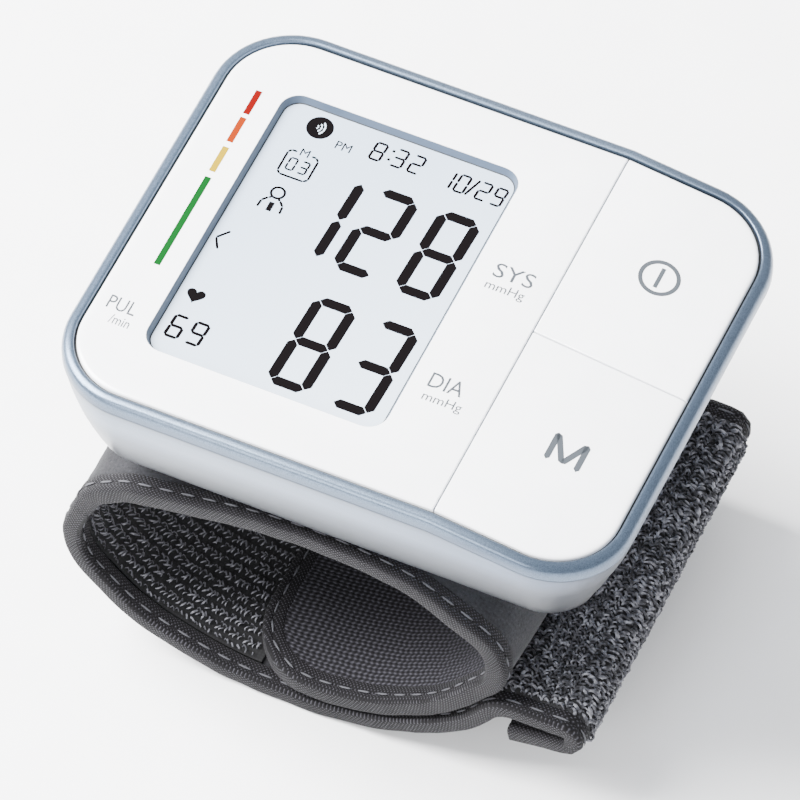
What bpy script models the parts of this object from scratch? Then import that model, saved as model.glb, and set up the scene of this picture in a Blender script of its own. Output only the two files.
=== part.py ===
"""Wrist blood pressure monitor: a display housing on a wrapped, padded wrist cuff.

The part's frame is in metres, +Z up. X runs along the display from left to right, Y up the
display, and Z is the display's normal. The origin is on the table, below the middle of the
display housing, whose outline is centred on X and Y. Lengths below are in millimetres, and a
depth is measured down from the display face.
"""

import math

import bmesh
import bpy
from mathutils import Matrix, Vector

MM = 0.001
GAP = 0.3

# Housing
FACE_Z = 64.3
HOUSING_HALF_X = 42.0
HOUSING_HALF_Y = 35.0
HOUSING_CORNER = 12.0
WALL = 2.0
WALL_TAPER = math.tan(math.radians(15))
RIM_HEIGHT = 0.2
RIM_DEPTH = 2.2
DECK_DEPTH = 2.5
DECK_THICKNESS = 1.6
PARTING_DEPTH = 15.5
HOUSING_DEPTH = 21.5
FLOOR_THICKNESS = 1.4
ARCH_RADIUS = 150.0
ARCH_DEPTH = 18.6
FACE_HALF_X = 40.0
FACE_HALF_Y = 32.6
FACE_CORNER = 9.8
PANEL_THICKNESS = 2.2
KEY_THICKNESS = 1.8
SLOPE_X = 17.0
SLOPE = math.tan(math.radians(8))

# Display
SCREEN_X = -13.0
SCREEN_HALF_X = 18.1
SCREEN_HALF_Y = 24.3
SCREEN_CORNER = 3.0
LENS_DEPTH = 1.1
FRAME_DEPTH = 4.4
FRAME_BOTTOM = 7.4

# Keys and their switches
SWITCH_X = 27.0
SWITCH_Y = 16.2
SWITCH_SIZE = 4.4
SWITCH_LEVEL = 3.35
STEM_RADIUS = 1.1

# Batteries, AAA size
CELL_RADIUS = 5.25
CELL_LENGTH = 44.5
CELL_DEPTH = 13.0
CELL_XS = (18.9, 29.7)
COVER_HALF_Y = 26.0
COVER_X = 12.9

# Pump and valve
PUMP_Y = 14.0
PUMP_DEPTH = 12.3
MOTOR_RADIUS = 4.5
SHAFT_RADIUS = 0.75

# Boards and screws
BOARD_DEPTH = 9.8
BOARD_THICKNESS = 1.0
HOUSING_SCREW = (9.4, 21.5)
HOUSING_SCREW_DEPTH = 18.9
SADDLE_SCREWS = ((-12.0, 6.0), (-12.0, -6.0), (8.0, 6.0), (8.0, -6.0))
NIPPLE_X = -2.0

# Cuff
CUFF_HALF_Y = 30.5
BINDING_WIDTH = 3.0
FLAP_CORNER = 11.0
COVER_LAYER = (-0.7, 0.0)
STIFFENER_LAYER = (-1.4, -1.0)
BLADDER_LAYER = (-2.6, -1.7)
LINING_LAYER = (-3.6, -2.9)
CUFF_BINDING_LAYER = (-3.8, 0.1)
STRAP_HALF = 1.3
PATCH_THICKNESS = 0.8
TUCKED_END = 15.5
HINGE = (-37.2, -32.6)


def material(name, hex_colour, roughness, metallic=0.0):
    """A Principled material from an sRGB colour."""
    found = bpy.data.materials.get(name)
    if found:
        return found
    made = bpy.data.materials.new(name)
    made.use_nodes = True
    channels = [int(hex_colour[i:i + 2], 16) / 255 for i in (0, 2, 4)]
    linear = [c / 12.92 if c <= 0.04045 else ((c + 0.055) / 1.055) ** 2.4 for c in channels]
    shader = made.node_tree.nodes["Principled BSDF"]
    shader.inputs["Base Color"].default_value = (*linear, 1)
    shader.inputs["Roughness"].default_value = roughness
    shader.inputs["Metallic"].default_value = metallic
    return made


def start_scene():
    """Empties the scene and makes a collection for the parts and one for the cutters."""
    for old in list(bpy.data.objects):
        bpy.data.objects.remove(old, do_unlink=True)
    collections = []
    for name in ("wrist_blood_pressure_monitor", "cutters"):
        collection = bpy.data.collections.new(name)
        bpy.context.scene.collection.children.link(collection)
        collections.append(collection)
    return collections


PARTS, CUTTERS = start_scene()


def as_object(name, bm, surface=None, origin=(0, 0, 0), smooth=True):
    """Scales a bmesh from millimetres to metres and makes it an object; no material is a cutter."""
    bmesh.ops.recalc_face_normals(bm, faces=bm.faces)
    bmesh.ops.transform(bm, matrix=Matrix.Translation(-Vector(origin)), verts=bm.verts)
    bmesh.ops.scale(bm, vec=(MM, MM, MM), verts=bm.verts)
    mesh = bpy.data.meshes.new(name)
    bm.to_mesh(mesh)
    bm.free()
    made = bpy.data.objects.new(name, mesh)
    made.location = Vector(origin) * MM
    if surface is None:
        made.hide_render = True
        made.display_type = "WIRE"
        CUTTERS.objects.link(made)
        return made
    mesh.materials.append(surface)
    if smooth:
        mesh.shade_smooth()
        mesh.set_sharp_from_angle(angle=math.radians(35))
    PARTS.objects.link(made)
    return made


def boolean(target, tool, operation="DIFFERENCE"):
    """Cuts, joins or intersects an object with another, by an exact modifier."""
    modifier = target.modifiers.new(f"{operation.lower()}_{tool.name}", "BOOLEAN")
    modifier.operation = operation
    modifier.solver = "EXACT"
    modifier.object = tool


# ---------------------------------------------------------------- plain solids


def block(x_range, y_range, depth_range, corner=0.0, segments=6, taper=0.0,
          bottom_round=0.0, top_round=0.0):
    """A block between two depths, with round upright corners and, if wanted, inward-leaning walls."""
    bm = bmesh.new()
    bmesh.ops.create_cube(bm, size=1)
    top = FACE_Z - depth_range[0]
    bottom = FACE_Z - depth_range[1]
    middle = Vector(((x_range[0] + x_range[1]) / 2, (y_range[0] + y_range[1]) / 2, (top + bottom) / 2))
    size = (x_range[1] - x_range[0], y_range[1] - y_range[0], top - bottom)
    bmesh.ops.scale(bm, vec=size, verts=bm.verts)
    bmesh.ops.translate(bm, vec=middle, verts=bm.verts)
    for vert in bm.verts:
        if vert.co.z < middle.z:
            inward = taper * (top - bottom)
            vert.co.x -= math.copysign(inward, vert.co.x - middle.x)
            vert.co.y -= math.copysign(inward, vert.co.y - middle.y)
    if corner:
        upright = [e for e in bm.edges if abs(e.verts[0].co.z - e.verts[1].co.z) > (top - bottom) / 2]
        bmesh.ops.bevel(bm, geom=upright, offset=corner, segments=segments, profile=0.5, affect="EDGES")
    for radius, level in ((bottom_round, bottom), (top_round, top)):
        if radius:
            rim = [e for e in bm.edges if all(abs(v.co.z - level) < 1e-3 for v in e.verts)]
            bmesh.ops.bevel(bm, geom=rim, offset=radius, segments=3, profile=0.5, affect="EDGES")
    return bm


def slope_right(bm, above_depth):
    """Leans the part of a solid right of the crease down towards the right, above a given depth."""
    geometry = list(bm.verts) + list(bm.edges) + list(bm.faces)
    bmesh.ops.bisect_plane(bm, geom=geometry, dist=1e-4, plane_co=(SLOPE_X, 0, 0), plane_no=(1, 0, 0))
    for vert in bm.verts:
        if vert.co.x > SLOPE_X and vert.co.z > FACE_Z - above_depth:
            vert.co.z -= (vert.co.x - SLOPE_X) * SLOPE
    return bm


def trim(bm, point, normal):
    """Removes the side of a closed solid that a plane's normal points to, and closes the cut."""
    geometry = list(bm.verts) + list(bm.edges) + list(bm.faces)
    result = bmesh.ops.bisect_plane(
        bm, geom=geometry, dist=1e-4, plane_co=point, plane_no=normal, clear_outer=True)
    cut = [item for item in result["geom_cut"] if isinstance(item, bmesh.types.BMEdge)]
    bmesh.ops.holes_fill(bm, edges=cut)
    return bm


def rod(radius, start, end, segments=16):
    """A closed cylinder between two points."""
    start, end = Vector(start), Vector(end)
    bm = bmesh.new()
    bmesh.ops.create_cone(
        bm, cap_ends=True, segments=segments, radius1=radius, radius2=radius, depth=(end - start).length)
    turn = Vector((0, 0, 1)).rotation_difference(end - start).to_matrix().to_4x4()
    bmesh.ops.transform(bm, matrix=Matrix.Translation((start + end) / 2) @ turn, verts=bm.verts)
    return bm


def upright_rod(radius, x, y, depth_range, segments=16):
    """A closed cylinder along Z between two depths."""
    return rod(radius, (x, y, FACE_Z - depth_range[1]), (x, y, FACE_Z - depth_range[0]), segments)


def slope_depth(x):
    """How far the sloped face lies below the flat one."""
    return max(0.0, x - SLOPE_X) * SLOPE


# ---------------------------------------------------------------- cuff paths


def filleted_path(corners, step=7.0, turn=math.radians(11)):
    """Points along straight stretches joined by arcs; a corner is (x, depth, radius)."""
    points = [Vector(corners[0][:2])]
    for before, here, after in zip(corners, corners[1:], corners[2:]):
        corner = Vector(here[:2])
        incoming = (corner - Vector(before[:2])).normalized()
        outgoing = (Vector(after[:2]) - corner).normalized()
        angle = incoming.angle_signed(outgoing)
        reach = here[2] * math.tan(abs(angle) / 2)
        side = Vector((incoming.y, -incoming.x)) * math.copysign(1, angle)
        centre = corner - incoming * reach + side * here[2]
        arm = -side * here[2]
        count = max(2, math.ceil(max(abs(angle) / turn, here[2] * abs(angle) / step)))
        for index in range(count + 1):
            part = angle * index / count
            cos, sin = math.cos(part), math.sin(part)
            points.append(centre + Vector((arm.x * cos + arm.y * sin, -arm.x * sin + arm.y * cos)))
    points.append(Vector(corners[-1][:2]))
    return points


class Ribbon:
    """A path in XZ that flat layers are wrapped onto: s along it, t out along its normal."""

    def __init__(self, corners, outward):
        self.points = filleted_path(corners)
        self.lengths = [0.0]
        for a, b in zip(self.points, self.points[1:]):
            self.lengths.append(self.lengths[-1] + (b - a).length)
        self.length = self.lengths[-1]
        self.outward = outward

    def direction(self, index):
        before = self.points[max(index - 1, 0)]
        after = self.points[min(index + 1, len(self.points) - 1)]
        return (after - before).normalized()

    def stations(self, start, end):
        inner = [s for s in self.lengths if start + 0.4 < s < end - 0.4]
        return [start] + inner + [end]

    def place(self, s, t):
        """The point at a distance along the path and a height above it."""
        index = 0
        while index < len(self.lengths) - 2 and self.lengths[index + 1] < s:
            index += 1
        share = (s - self.lengths[index]) / (self.lengths[index + 1] - self.lengths[index])
        point = self.points[index].lerp(self.points[index + 1], share)
        along = self.direction(index).lerp(self.direction(index + 1), min(max(share, 0), 1)).normalized()
        normal = Vector((along.y, -along.x)) * self.outward
        return point + normal * t

    def distance_at(self, x, rank):
        """The distance along the path where it passes a given x for the first (0) or a later time."""
        passes = []
        for index, (a, b) in enumerate(zip(self.points, self.points[1:])):
            if min(a.x, b.x) <= x < max(a.x, b.x):
                passes.append(self.lengths[index] + (b - a).length * (x - a.x) / (b.x - a.x))
        return passes[rank]


def layer(ribbon, start, end, half_width, heights, start_corner=0.0, middle_y=0.0):
    """A closed layer wrapped on a ribbon, with round corners at its start."""
    stations = ribbon.stations(start, end)
    if start_corner:
        arc = [start + start_corner * (1 - math.cos(math.radians(a))) for a in (0, 18, 36, 54, 72, 90)]
        stations = sorted(set(arc + [s for s in stations if s > start + start_corner + 0.5]))
    bm = bmesh.new()
    rings = []
    for s in stations:
        corner_depth = max(0.0, start_corner - (s - start))
        width = half_width - start_corner + math.sqrt(start_corner ** 2 - corner_depth ** 2)
        ring = []
        for y, t in ((-width, heights[0]), (width, heights[0]), (width, heights[1]), (-width, heights[1])):
            spot = ribbon.place(s, t)
            ring.append(bm.verts.new((spot.x, middle_y + y, spot.y + FACE_Z)))
        rings.append(ring)
    for first, second in zip(rings, rings[1:]):
        for corner in range(4):
            following = (corner + 1) % 4
            bm.faces.new((first[corner], first[following], second[following], second[corner]))
    bm.faces.new(rings[0])
    bm.faces.new(reversed(rings[-1]))
    return bm


# ---------------------------------------------------------------- surfaces

SILVER = material("satin_silver_paint", "b9c4d2", 0.3, 0.6)
BRIGHT_SILVER = material("bright_silver_paint", "c9d3de", 0.22, 0.7)
PALE_PLASTIC = material("pale_blue_plastic", "cfdaea", 0.4)
WHITE_GLOSS = material("white_gloss_plastic", "f4f5f8", 0.12)
CLEAR = material("clear_acrylic", "e6ebf2", 0.05)
LCD = material("lcd_glass", "dfe4ea", 0.1)
BLACK_PLASTIC = material("black_plastic", "1f2022", 0.5)
GREY_PLASTIC = material("grey_plastic", "85888c", 0.5)
BOARD_GREEN = material("circuit_board", "2f6b43", 0.45)
STEEL = material("bright_steel", "c4c6c8", 0.3, 1.0)
NICKEL = material("nickel_plate", "b9b6ac", 0.3, 1.0)
CELL_JACKET = material("cell_jacket", "3b5a8c", 0.35)
SILICONE = material("silicone_rubber", "d9d9d2", 0.5)
BLADDER_RUBBER = material("bladder_rubber", "8f8f8a", 0.6)
SUEDE = material("grey_suede_fabric", "606064", 0.95)
KNIT = material("dark_knit_fabric", "37363a", 0.9)
WEAVE = material("charcoal_binding_tape", "2e2d31", 0.85)
HOOK = material("hook_fabric", "26262a", 0.9)
PILE = material("loop_pile_fabric", "5b5b5f", 0.95)


# ---------------------------------------------------------------- housing


def housing_block(depth_top, depth_bottom, inset, corner, bottom_round=0.0, top_round=0.0):
    """A slice of the housing's tapered body, pulled in by an inset."""
    half_x = HOUSING_HALF_X - WALL_TAPER * max(depth_top, 0) - inset
    half_y = HOUSING_HALF_Y - WALL_TAPER * max(depth_top, 0) - inset
    return block((-half_x, half_x), (-half_y, half_y), (depth_top, depth_bottom),
                 corner, 6, WALL_TAPER, bottom_round, top_round)


def face_slice(half_x, half_y, depth_range, corner):
    """A rounded plate that follows the flat face and the slope to its right."""
    plate = block((-half_x, half_x), (-half_y, half_y), depth_range, corner)
    return slope_right(plate, depth_range[1] + 1)


def arch_cylinder(name, radius):
    """The long cylinder that hollows the housing's underside, lying along Y."""
    axis_z = FACE_Z - ARCH_DEPTH - ARCH_RADIUS
    return as_object(name, rod(radius, (0, -60, axis_z), (0, 60, axis_z), 180))


def make_rim():
    rim = housing_block(-RIM_HEIGHT, RIM_DEPTH, 0, HOUSING_CORNER, top_round=0.7)
    made = as_object("bezel_ring", slope_right(rim, RIM_DEPTH + 1), BRIGHT_SILVER)
    opening = face_slice(FACE_HALF_X + GAP, FACE_HALF_Y + GAP, (-3, RIM_DEPTH + 3), FACE_CORNER + GAP)
    boolean(made, as_object("rim_opening", opening))


def make_upper_housing():
    shell = slope_right(housing_block(DECK_DEPTH, PARTING_DEPTH, 0, HOUSING_CORNER), 8)
    made = as_object("upper_housing", shell, SILVER)
    ceiling = DECK_DEPTH + DECK_THICKNESS
    cavity = housing_block(ceiling, PARTING_DEPTH + 1, WALL, HOUSING_CORNER - WALL)
    boolean(made, as_object("upper_cavity", slope_right(cavity, ceiling + 4)))
    half_x, half_y = SCREEN_HALF_X - 0.6, SCREEN_HALF_Y - 0.6
    window = block((SCREEN_X - half_x, SCREEN_X + half_x), (-half_y, half_y), (0, ceiling + 1), 2.4, 3)
    boolean(made, as_object("deck_window", window))
    for side in (-1, 1):
        half = SWITCH_SIZE / 2 + 2 * GAP
        hole_x = SWITCH_X - SWITCH_LEVEL * SLOPE
        hole = block((hole_x - half, hole_x + half),
                     (side * SWITCH_Y - half, side * SWITCH_Y + half), (0, ceiling + 4))
        boolean(made, as_object(f"switch_hole_{side}", hole))
        boss = upright_rod(2.4, HOUSING_SCREW[0], side * HOUSING_SCREW[1], (ceiling - 0.4, PARTING_DEPTH))
        boolean(made, as_object(f"boss_{side}", boss), "UNION")
        bore = upright_rod(1.2, HOUSING_SCREW[0], side * HOUSING_SCREW[1], (6.5, PARTING_DEPTH + 1), 12)
        boolean(made, as_object(f"boss_bore_{side}", bore))


def cover_region(inset, height):
    """The box that divides the battery cover from the lower housing, open to the right."""
    return block((COVER_X + inset, 60), (-COVER_HALF_Y + inset, COVER_HALF_Y - inset), (height, 30))


def lower_shell(name, surface, outer_arch, cavity):
    """The lower shell, arched below and hollowed above."""
    body = housing_block(PARTING_DEPTH + GAP, HOUSING_DEPTH, 0, HOUSING_CORNER - 2, bottom_round=2.5)
    made = as_object(name, body, surface)
    boolean(made, outer_arch)
    boolean(made, cavity)
    return made


def make_lower_housing():
    outer_arch = arch_cylinder("outer_arch", ARCH_RADIUS)
    inner_arch = arch_cylinder("inner_arch", ARCH_RADIUS + FLOOR_THICKNESS)
    hollow = housing_block(PARTING_DEPTH - 2, HOUSING_DEPTH + 2, WALL, HOUSING_CORNER - 4)
    cavity = as_object("lower_cavity", hollow)
    boolean(cavity, inner_arch)
    lower = lower_shell("lower_housing", PALE_PLASTIC, outer_arch, cavity)
    cover = lower_shell("battery_cover", PALE_PLASTIC, outer_arch, cavity)
    boolean(lower, as_object("cover_opening", cover_region(0, 0)))
    boolean(cover, as_object("cover_outline", cover_region(GAP, 0)), "INTERSECT")
    for side in (-1, 1):
        bore = upright_rod(1.2, HOUSING_SCREW[0], side * HOUSING_SCREW[1], (10, 30), 12)
        boolean(lower, as_object(f"housing_screw_hole_{side}", bore))
        screw("housing_screw_" + ("front" if side < 0 else "back"), HOUSING_SCREW[0],
              side * HOUSING_SCREW[1], HOUSING_SCREW_DEPTH)
    for index, (x, y) in enumerate(SADDLE_SCREWS, 1):
        bore = upright_rod(1.2, x, y, (10, 30), 12)
        boolean(lower, as_object(f"saddle_screw_hole_{index}", bore))
    nipple_hole = upright_rod(2.0 + GAP, NIPPLE_X, 0, (10, 30))
    boolean(lower, as_object("nipple_hole", nipple_hole))


def screw(name, x, y, head_depth):
    """A pan head screw, driven in from below, as one turned profile; its head seats at a depth."""
    profile = ((0, -7.6), (0.5, -7.6), (0.9, -7.0), (0.9, 0), (1.8, 0), (1.8, 0.7), (1.2, 1.2), (0, 1.2))
    bm = bmesh.new()
    verts = [bm.verts.new((r, 0, -h)) for r, h in profile]
    edges = [bm.edges.new(pair) for pair in zip(verts, verts[1:])]
    bmesh.ops.spin(bm, geom=verts + edges, cent=(0, 0, 0), axis=(0, 0, 1), angle=math.tau, steps=12,
                   use_merge=True)
    bmesh.ops.remove_doubles(bm, verts=bm.verts, dist=1e-4)
    bmesh.ops.translate(bm, vec=(x, y, FACE_Z - head_depth - GAP), verts=bm.verts)
    as_object(name, bm, STEEL)


# ---------------------------------------------------------------- face


def make_display_panel():
    plate = face_slice(FACE_HALF_X, FACE_HALF_Y, (0, PANEL_THICKNESS), FACE_CORNER)
    made = as_object("display_panel", trim(plate, (SLOPE_X - GAP / 2, 0, 0), (1, 0, 0)), WHITE_GLOSS)
    window = block((SCREEN_X - SCREEN_HALF_X, SCREEN_X + SCREEN_HALF_X), (-SCREEN_HALF_Y, SCREEN_HALF_Y),
                   (-1, 5), SCREEN_CORNER)
    boolean(made, as_object("screen_window", window))
    half_x, half_y = SCREEN_HALF_X - GAP, SCREEN_HALF_Y - GAP
    lens = block((SCREEN_X - half_x, SCREEN_X + half_x), (-half_y, half_y),
                 (LENS_DEPTH, PANEL_THICKNESS), SCREEN_CORNER - GAP)
    as_object("display_lens", lens, CLEAR)


def key_normal():
    """The unit normal of the sloped face."""
    return Vector((SLOPE, 0, 1)).normalized()


def make_key(name, side):
    """A key cap on the sloped face, with its switch below the deck's hole."""
    plate = face_slice(FACE_HALF_X, FACE_HALF_Y, (0, KEY_THICKNESS), FACE_CORNER)
    plate = trim(plate, (SLOPE_X + GAP / 2, 0, 0), (-1, 0, 0))
    plate = trim(plate, (0, side * GAP / 2, 0), (0, -side, 0))
    centre = (SWITCH_X, side * SWITCH_Y, FACE_Z - slope_depth(SWITCH_X))
    as_object(f"{name}_button", plate, WHITE_GLOSS, centre)

    surface_point = Vector(centre)
    normal = key_normal()
    tilt = Vector((0, 0, 1)).rotation_difference(normal).to_matrix().to_4x4()
    body = bmesh.new()
    bmesh.ops.create_cube(body, size=1)
    bmesh.ops.scale(body, vec=(SWITCH_SIZE, SWITCH_SIZE, 1.5), verts=body.verts)
    placement = Matrix.Translation(surface_point - normal * SWITCH_LEVEL) @ tilt
    bmesh.ops.transform(body, matrix=placement, verts=body.verts)
    switch = as_object(f"{name}_switch_body", body, BLACK_PLASTIC)
    well = rod(STEM_RADIUS + GAP, surface_point - normal * 3.6, surface_point - normal, 16)
    boolean(switch, as_object(f"{name}_switch_well", well))
    stem = rod(STEM_RADIUS, surface_point - normal * 3.0, surface_point - normal * 2.1, 16)
    as_object(f"{name}_switch_stem", stem, GREY_PLASTIC, centre)


def make_button_board():
    plate = block((22.0, 29.6), (-21.5, 21.5), (4.4, 5.2))
    for vert in plate.verts:
        vert.co.z -= (vert.co.x - SLOPE_X) * SLOPE
    as_object("button_board", plate, BOARD_GREEN)


# ---------------------------------------------------------------- electronics


def simple_block(name, x_range, y_range, depth_range, surface, corner=0.0):
    return as_object(name, block(x_range, y_range, depth_range, corner, 3), surface)


def make_lcd():
    half_x, half_y = SCREEN_HALF_X + 1.4, SCREEN_HALF_Y + 1.4
    frame = simple_block("lcd_frame", (SCREEN_X - half_x, SCREEN_X + half_x), (-half_y, half_y),
                         (FRAME_DEPTH, FRAME_BOTTOM), BLACK_PLASTIC, 1.5)
    pocket_x, pocket_y = SCREEN_HALF_X + 0.4, SCREEN_HALF_Y + 0.4
    pocket = block((SCREEN_X - pocket_x, SCREEN_X + pocket_x), (-pocket_y, pocket_y),
                   (0, FRAME_BOTTOM - 0.6))
    boolean(frame, as_object("lcd_pocket", pocket))
    glass_x, glass_y = pocket_x - GAP, pocket_y - GAP
    simple_block("lcd_glass", (SCREEN_X - glass_x, SCREEN_X + glass_x), (-glass_y, glass_y),
                 (4.6, 5.8), LCD)
    simple_block("lcd_reflector", (SCREEN_X - glass_x, SCREEN_X + glass_x), (-glass_y, glass_y),
                 (6.1, 6.5), GREY_PLASTIC)
    simple_block("lcd_connector", (-29.0, 3.0), (-24.6, -22.4),
                 (FRAME_BOTTOM + GAP, BOARD_DEPTH - GAP), SILICONE)


def make_boards():
    simple_block("main_board", (-33.0, 6.5), (-25.5, 3.5),
                 (BOARD_DEPTH, BOARD_DEPTH + BOARD_THICKNESS), BOARD_GREEN)
    above = (BOARD_DEPTH - 1.9, BOARD_DEPTH - GAP)
    simple_block("radio_module", (-30.0, -19.0), (-17.0, -4.0), above, STEEL, 0.6)
    simple_block("processor_chip", (-12.0, -3.0), (-15.0, -6.0), above, BLACK_PLASTIC)
    below = BOARD_DEPTH + BOARD_THICKNESS + GAP
    simple_block("pressure_sensor", (-22.0, -15.0), (-8.0, -1.0), (below, below + 3.2), GREY_PLASTIC)
    as_object("buzzer", upright_rod(4.5, -24.0, -18.0, (below, below + 2.8), 24), BLACK_PLASTIC)


def make_batteries():
    profile = ((0, 0), (CELL_RADIUS - 0.6, 0), (CELL_RADIUS, 0.6), (CELL_RADIUS, CELL_LENGTH - 1.6),
               (CELL_RADIUS - 0.7, CELL_LENGTH - 1.0), (1.9, CELL_LENGTH - 1.0),
               (1.9, CELL_LENGTH), (0, CELL_LENGTH))
    level = FACE_Z - CELL_DEPTH
    half = CELL_LENGTH / 2
    for index, (x, towards) in enumerate(zip(CELL_XS, (1, -1)), 1):
        bm = bmesh.new()
        verts = [bm.verts.new((r, towards * (y - half), 0)) for r, y in profile]
        edges = [bm.edges.new(pair) for pair in zip(verts, verts[1:])]
        bmesh.ops.spin(bm, geom=verts + edges, cent=(0, 0, 0), axis=(0, 1, 0), angle=math.tau, steps=20,
                       use_merge=True)
        bmesh.ops.remove_doubles(bm, verts=bm.verts, dist=1e-4)
        bmesh.ops.translate(bm, vec=(x, 0, level), verts=bm.verts)
        as_object(f"battery_{index}", bm, CELL_JACKET)
        coil_spring(f"battery_spring_{index}", x, -towards * (half + GAP), -towards * 2.6, level)
        plate_y = sorted((towards * (half + GAP), towards * (half + GAP + 0.5)))
        simple_block(f"battery_contact_{index}", (x - 3.6, x + 3.6), plate_y,
                     (CELL_DEPTH - 3.2, CELL_DEPTH + 3.2), NICKEL)
    tray = simple_block("battery_tray", (12.1, 27.2), (-27.4, 27.4), (8.6, 16.4), GREY_PLASTIC)
    inside = block((13.1, 60), (-26.4, 26.4), (0, 30))
    boolean(tray, as_object("tray_inside", inside))


def coil_spring(name, x, start_y, length, level):
    """A conical wire spring along Y, from a cell's flat end to the compartment wall."""
    turns, steps = 3, 10
    curve = bpy.data.curves.new(name, "CURVE")
    curve.dimensions = "3D"
    curve.bevel_depth = 0.3 * MM
    curve.bevel_resolution = 1
    curve.use_fill_caps = True
    wire = curve.splines.new("POLY")
    count = turns * steps + 1
    wire.points.add(count - 1)
    lead = math.copysign(0.4, length)
    for index in range(count):
        share = index / (count - 1)
        angle = math.tau * turns * share
        radius = 1.7 + 1.2 * share
        spot = Vector((x + radius * math.cos(angle), start_y + lead + (length - lead) * share,
                       level + radius * math.sin(angle))) * MM
        wire.points[index].co = (*spot, 1)
    made = bpy.data.objects.new(name, curve)
    curve.materials.append(NICKEL)
    PARTS.objects.link(made)


# ---------------------------------------------------------------- air system


def make_pump():
    level = FACE_Z - PUMP_DEPTH
    end_x = -9.5
    as_object("pump_motor", rod(MOTOR_RADIUS, (-29.5, PUMP_Y, level), (end_x, PUMP_Y, level), 24), STEEL)
    head = block((end_x + GAP, 4.0), (PUMP_Y - 4.6, PUMP_Y + 4.6),
                 (PUMP_DEPTH - 4.5, PUMP_DEPTH + 4.4), 0.8, 2)
    pump_head = as_object("pump_head", head, BLACK_PLASTIC)
    chamber = rod(3.6, (end_x - 1, PUMP_Y, level), (0.5, PUMP_Y, level), 20)
    boolean(pump_head, as_object("pump_chamber", chamber))
    outlet = rod(1.0, (2, PUMP_Y, level), (6, PUMP_Y, level), 12)
    boolean(pump_head, as_object("pump_outlet", outlet))
    shaft = rod(SHAFT_RADIUS, (end_x + GAP, PUMP_Y, level), (-1.5, PUMP_Y, level), 12)
    made = as_object("motor_shaft", shaft, STEEL, (0, PUMP_Y, level))
    crank = rod(1.9, (-7.0, PUMP_Y, level + 0.9), (-4.6, PUMP_Y, level + 0.9), 16)
    boolean(made, as_object("crank_disc", crank), "UNION")


def make_valve():
    y, depth = 24.0, 13.4
    level = FACE_Z - depth
    solid = block((-22.0, -11.0), (y - 3.2, y + 3.2), (depth - 3.2, depth + 3.2))
    body = as_object("release_valve", solid, GREY_PLASTIC)
    boolean(body, as_object("valve_bore", rod(1.1 + GAP, (-16, y, level), (-8, y, level), 16)))
    as_object("valve_plunger", rod(1.1, (-14.6, y, level), (-8.4, y, level), 16), STEEL, (-11, y, level))


def make_tube(name, route, radius):
    """A soft air tube along a smooth route."""
    curve = bpy.data.curves.new(name, "CURVE")
    curve.dimensions = "3D"
    curve.bevel_depth = radius * MM
    curve.bevel_resolution = 2
    curve.use_fill_caps = True
    line = curve.splines.new("POLY")
    points = []
    padded = [route[0]] + list(route) + [route[-1]]
    for a, b, c, d in zip(padded, padded[1:], padded[2:], padded[3:]):
        a, b, c, d = (Vector(p) for p in (a, b, c, d))
        for share in (0, 0.25, 0.5, 0.75):
            points.append(0.5 * (2 * b + (c - a) * share + (2 * a - 5 * b + 4 * c - d) * share ** 2
                                 + (3 * b - a - 3 * c + d) * share ** 3))
    points.append(Vector(route[-1]))
    line.points.add(len(points) - 1)
    for spot, point in zip(line.points, points):
        spot.co = (*((point + Vector((0, 0, FACE_Z))) * MM), 1)
    made = bpy.data.objects.new(name, curve)
    curve.materials.append(SILICONE)
    PARTS.objects.link(made)


def make_air_lines():
    solid = block((-6.5, 2.5), (-3.0, 3.0), (12.9, 15.9), 0.8, 2)
    manifold = as_object("air_manifold", solid, BLACK_PLASTIC)
    boolean(manifold, as_object("manifold_bore", upright_rod(2.0 + GAP, NIPPLE_X, 0, (14.4, 20))))
    nipple = as_object("air_nipple", upright_rod(2.0, NIPPLE_X, 0, (14.7, 21.3)), BLACK_PLASTIC)
    boolean(nipple, as_object("nipple_bore", upright_rod(1.1, NIPPLE_X, 0, (10, 30), 12)))
    make_tube("air_tube_pump", ((4.4, PUMP_Y, -12.3), (6.0, PUMP_Y, -12.6), (7.6, 11, -14.0),
                                (7.2, 4.5, -14.4), (5.4, 1.0, -14.4), (2.8, 0.4, -14.4)), 1.3)
    make_tube("air_tube_sensor", ((-6.8, 0.0, -14.4), (-9.0, -0.4, -14.4), (-11.5, -2.6, -14.0),
                                  (-14.7, -3.4, -13.4)), 1.2)
    make_tube("air_tube_valve", ((-2.0, 3.7, -14.4), (-3.0, 5.6, -13.8), (-10.5, 6.6, -12.8),
                                 (-25.0, 6.4, -12.8), (-31.6, 9.0, -13.0), (-32.6, 17.0, -13.4),
                                 (-29.0, 23.4, -13.4), (-22.3, 24.0, -13.4)), 1.0)


# ---------------------------------------------------------------- cuff

# The course of the cuff's outer face in the side view, from the end of the inner flap to the strap:
# x, height over the display face, and the radius of the bend there.
CUFF_CORNERS = (
    (-14.5, -60.8, 0), (4.2, -61.4, 32), (18.2, -52.9, 30), (27.7, -40.2, 9), (26.0, -31.6, 9),
    (13.0, -23.2, 20), (-4.0, -19.9, 58), (-31.8, -26.2, 9), (-36.3, -31.2, 0))
# The course of the strap's middle line, from its hinge to the end of the tucked tail.
STRAP_CORNERS = (
    (HINGE[0], HINGE[1], 0), (-41.8, -45.4, 12), (-30.5, -57.4, 22), (-16.5, -63.0, 36), (5.0, -63.0, 34),
    (20.6, -54.0, 22), (25.4, -46.1, 5), (37.0, -45.8, 1.55), (37.2, -49.5, 1.55), (27.2, -51.3, 0))


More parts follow.
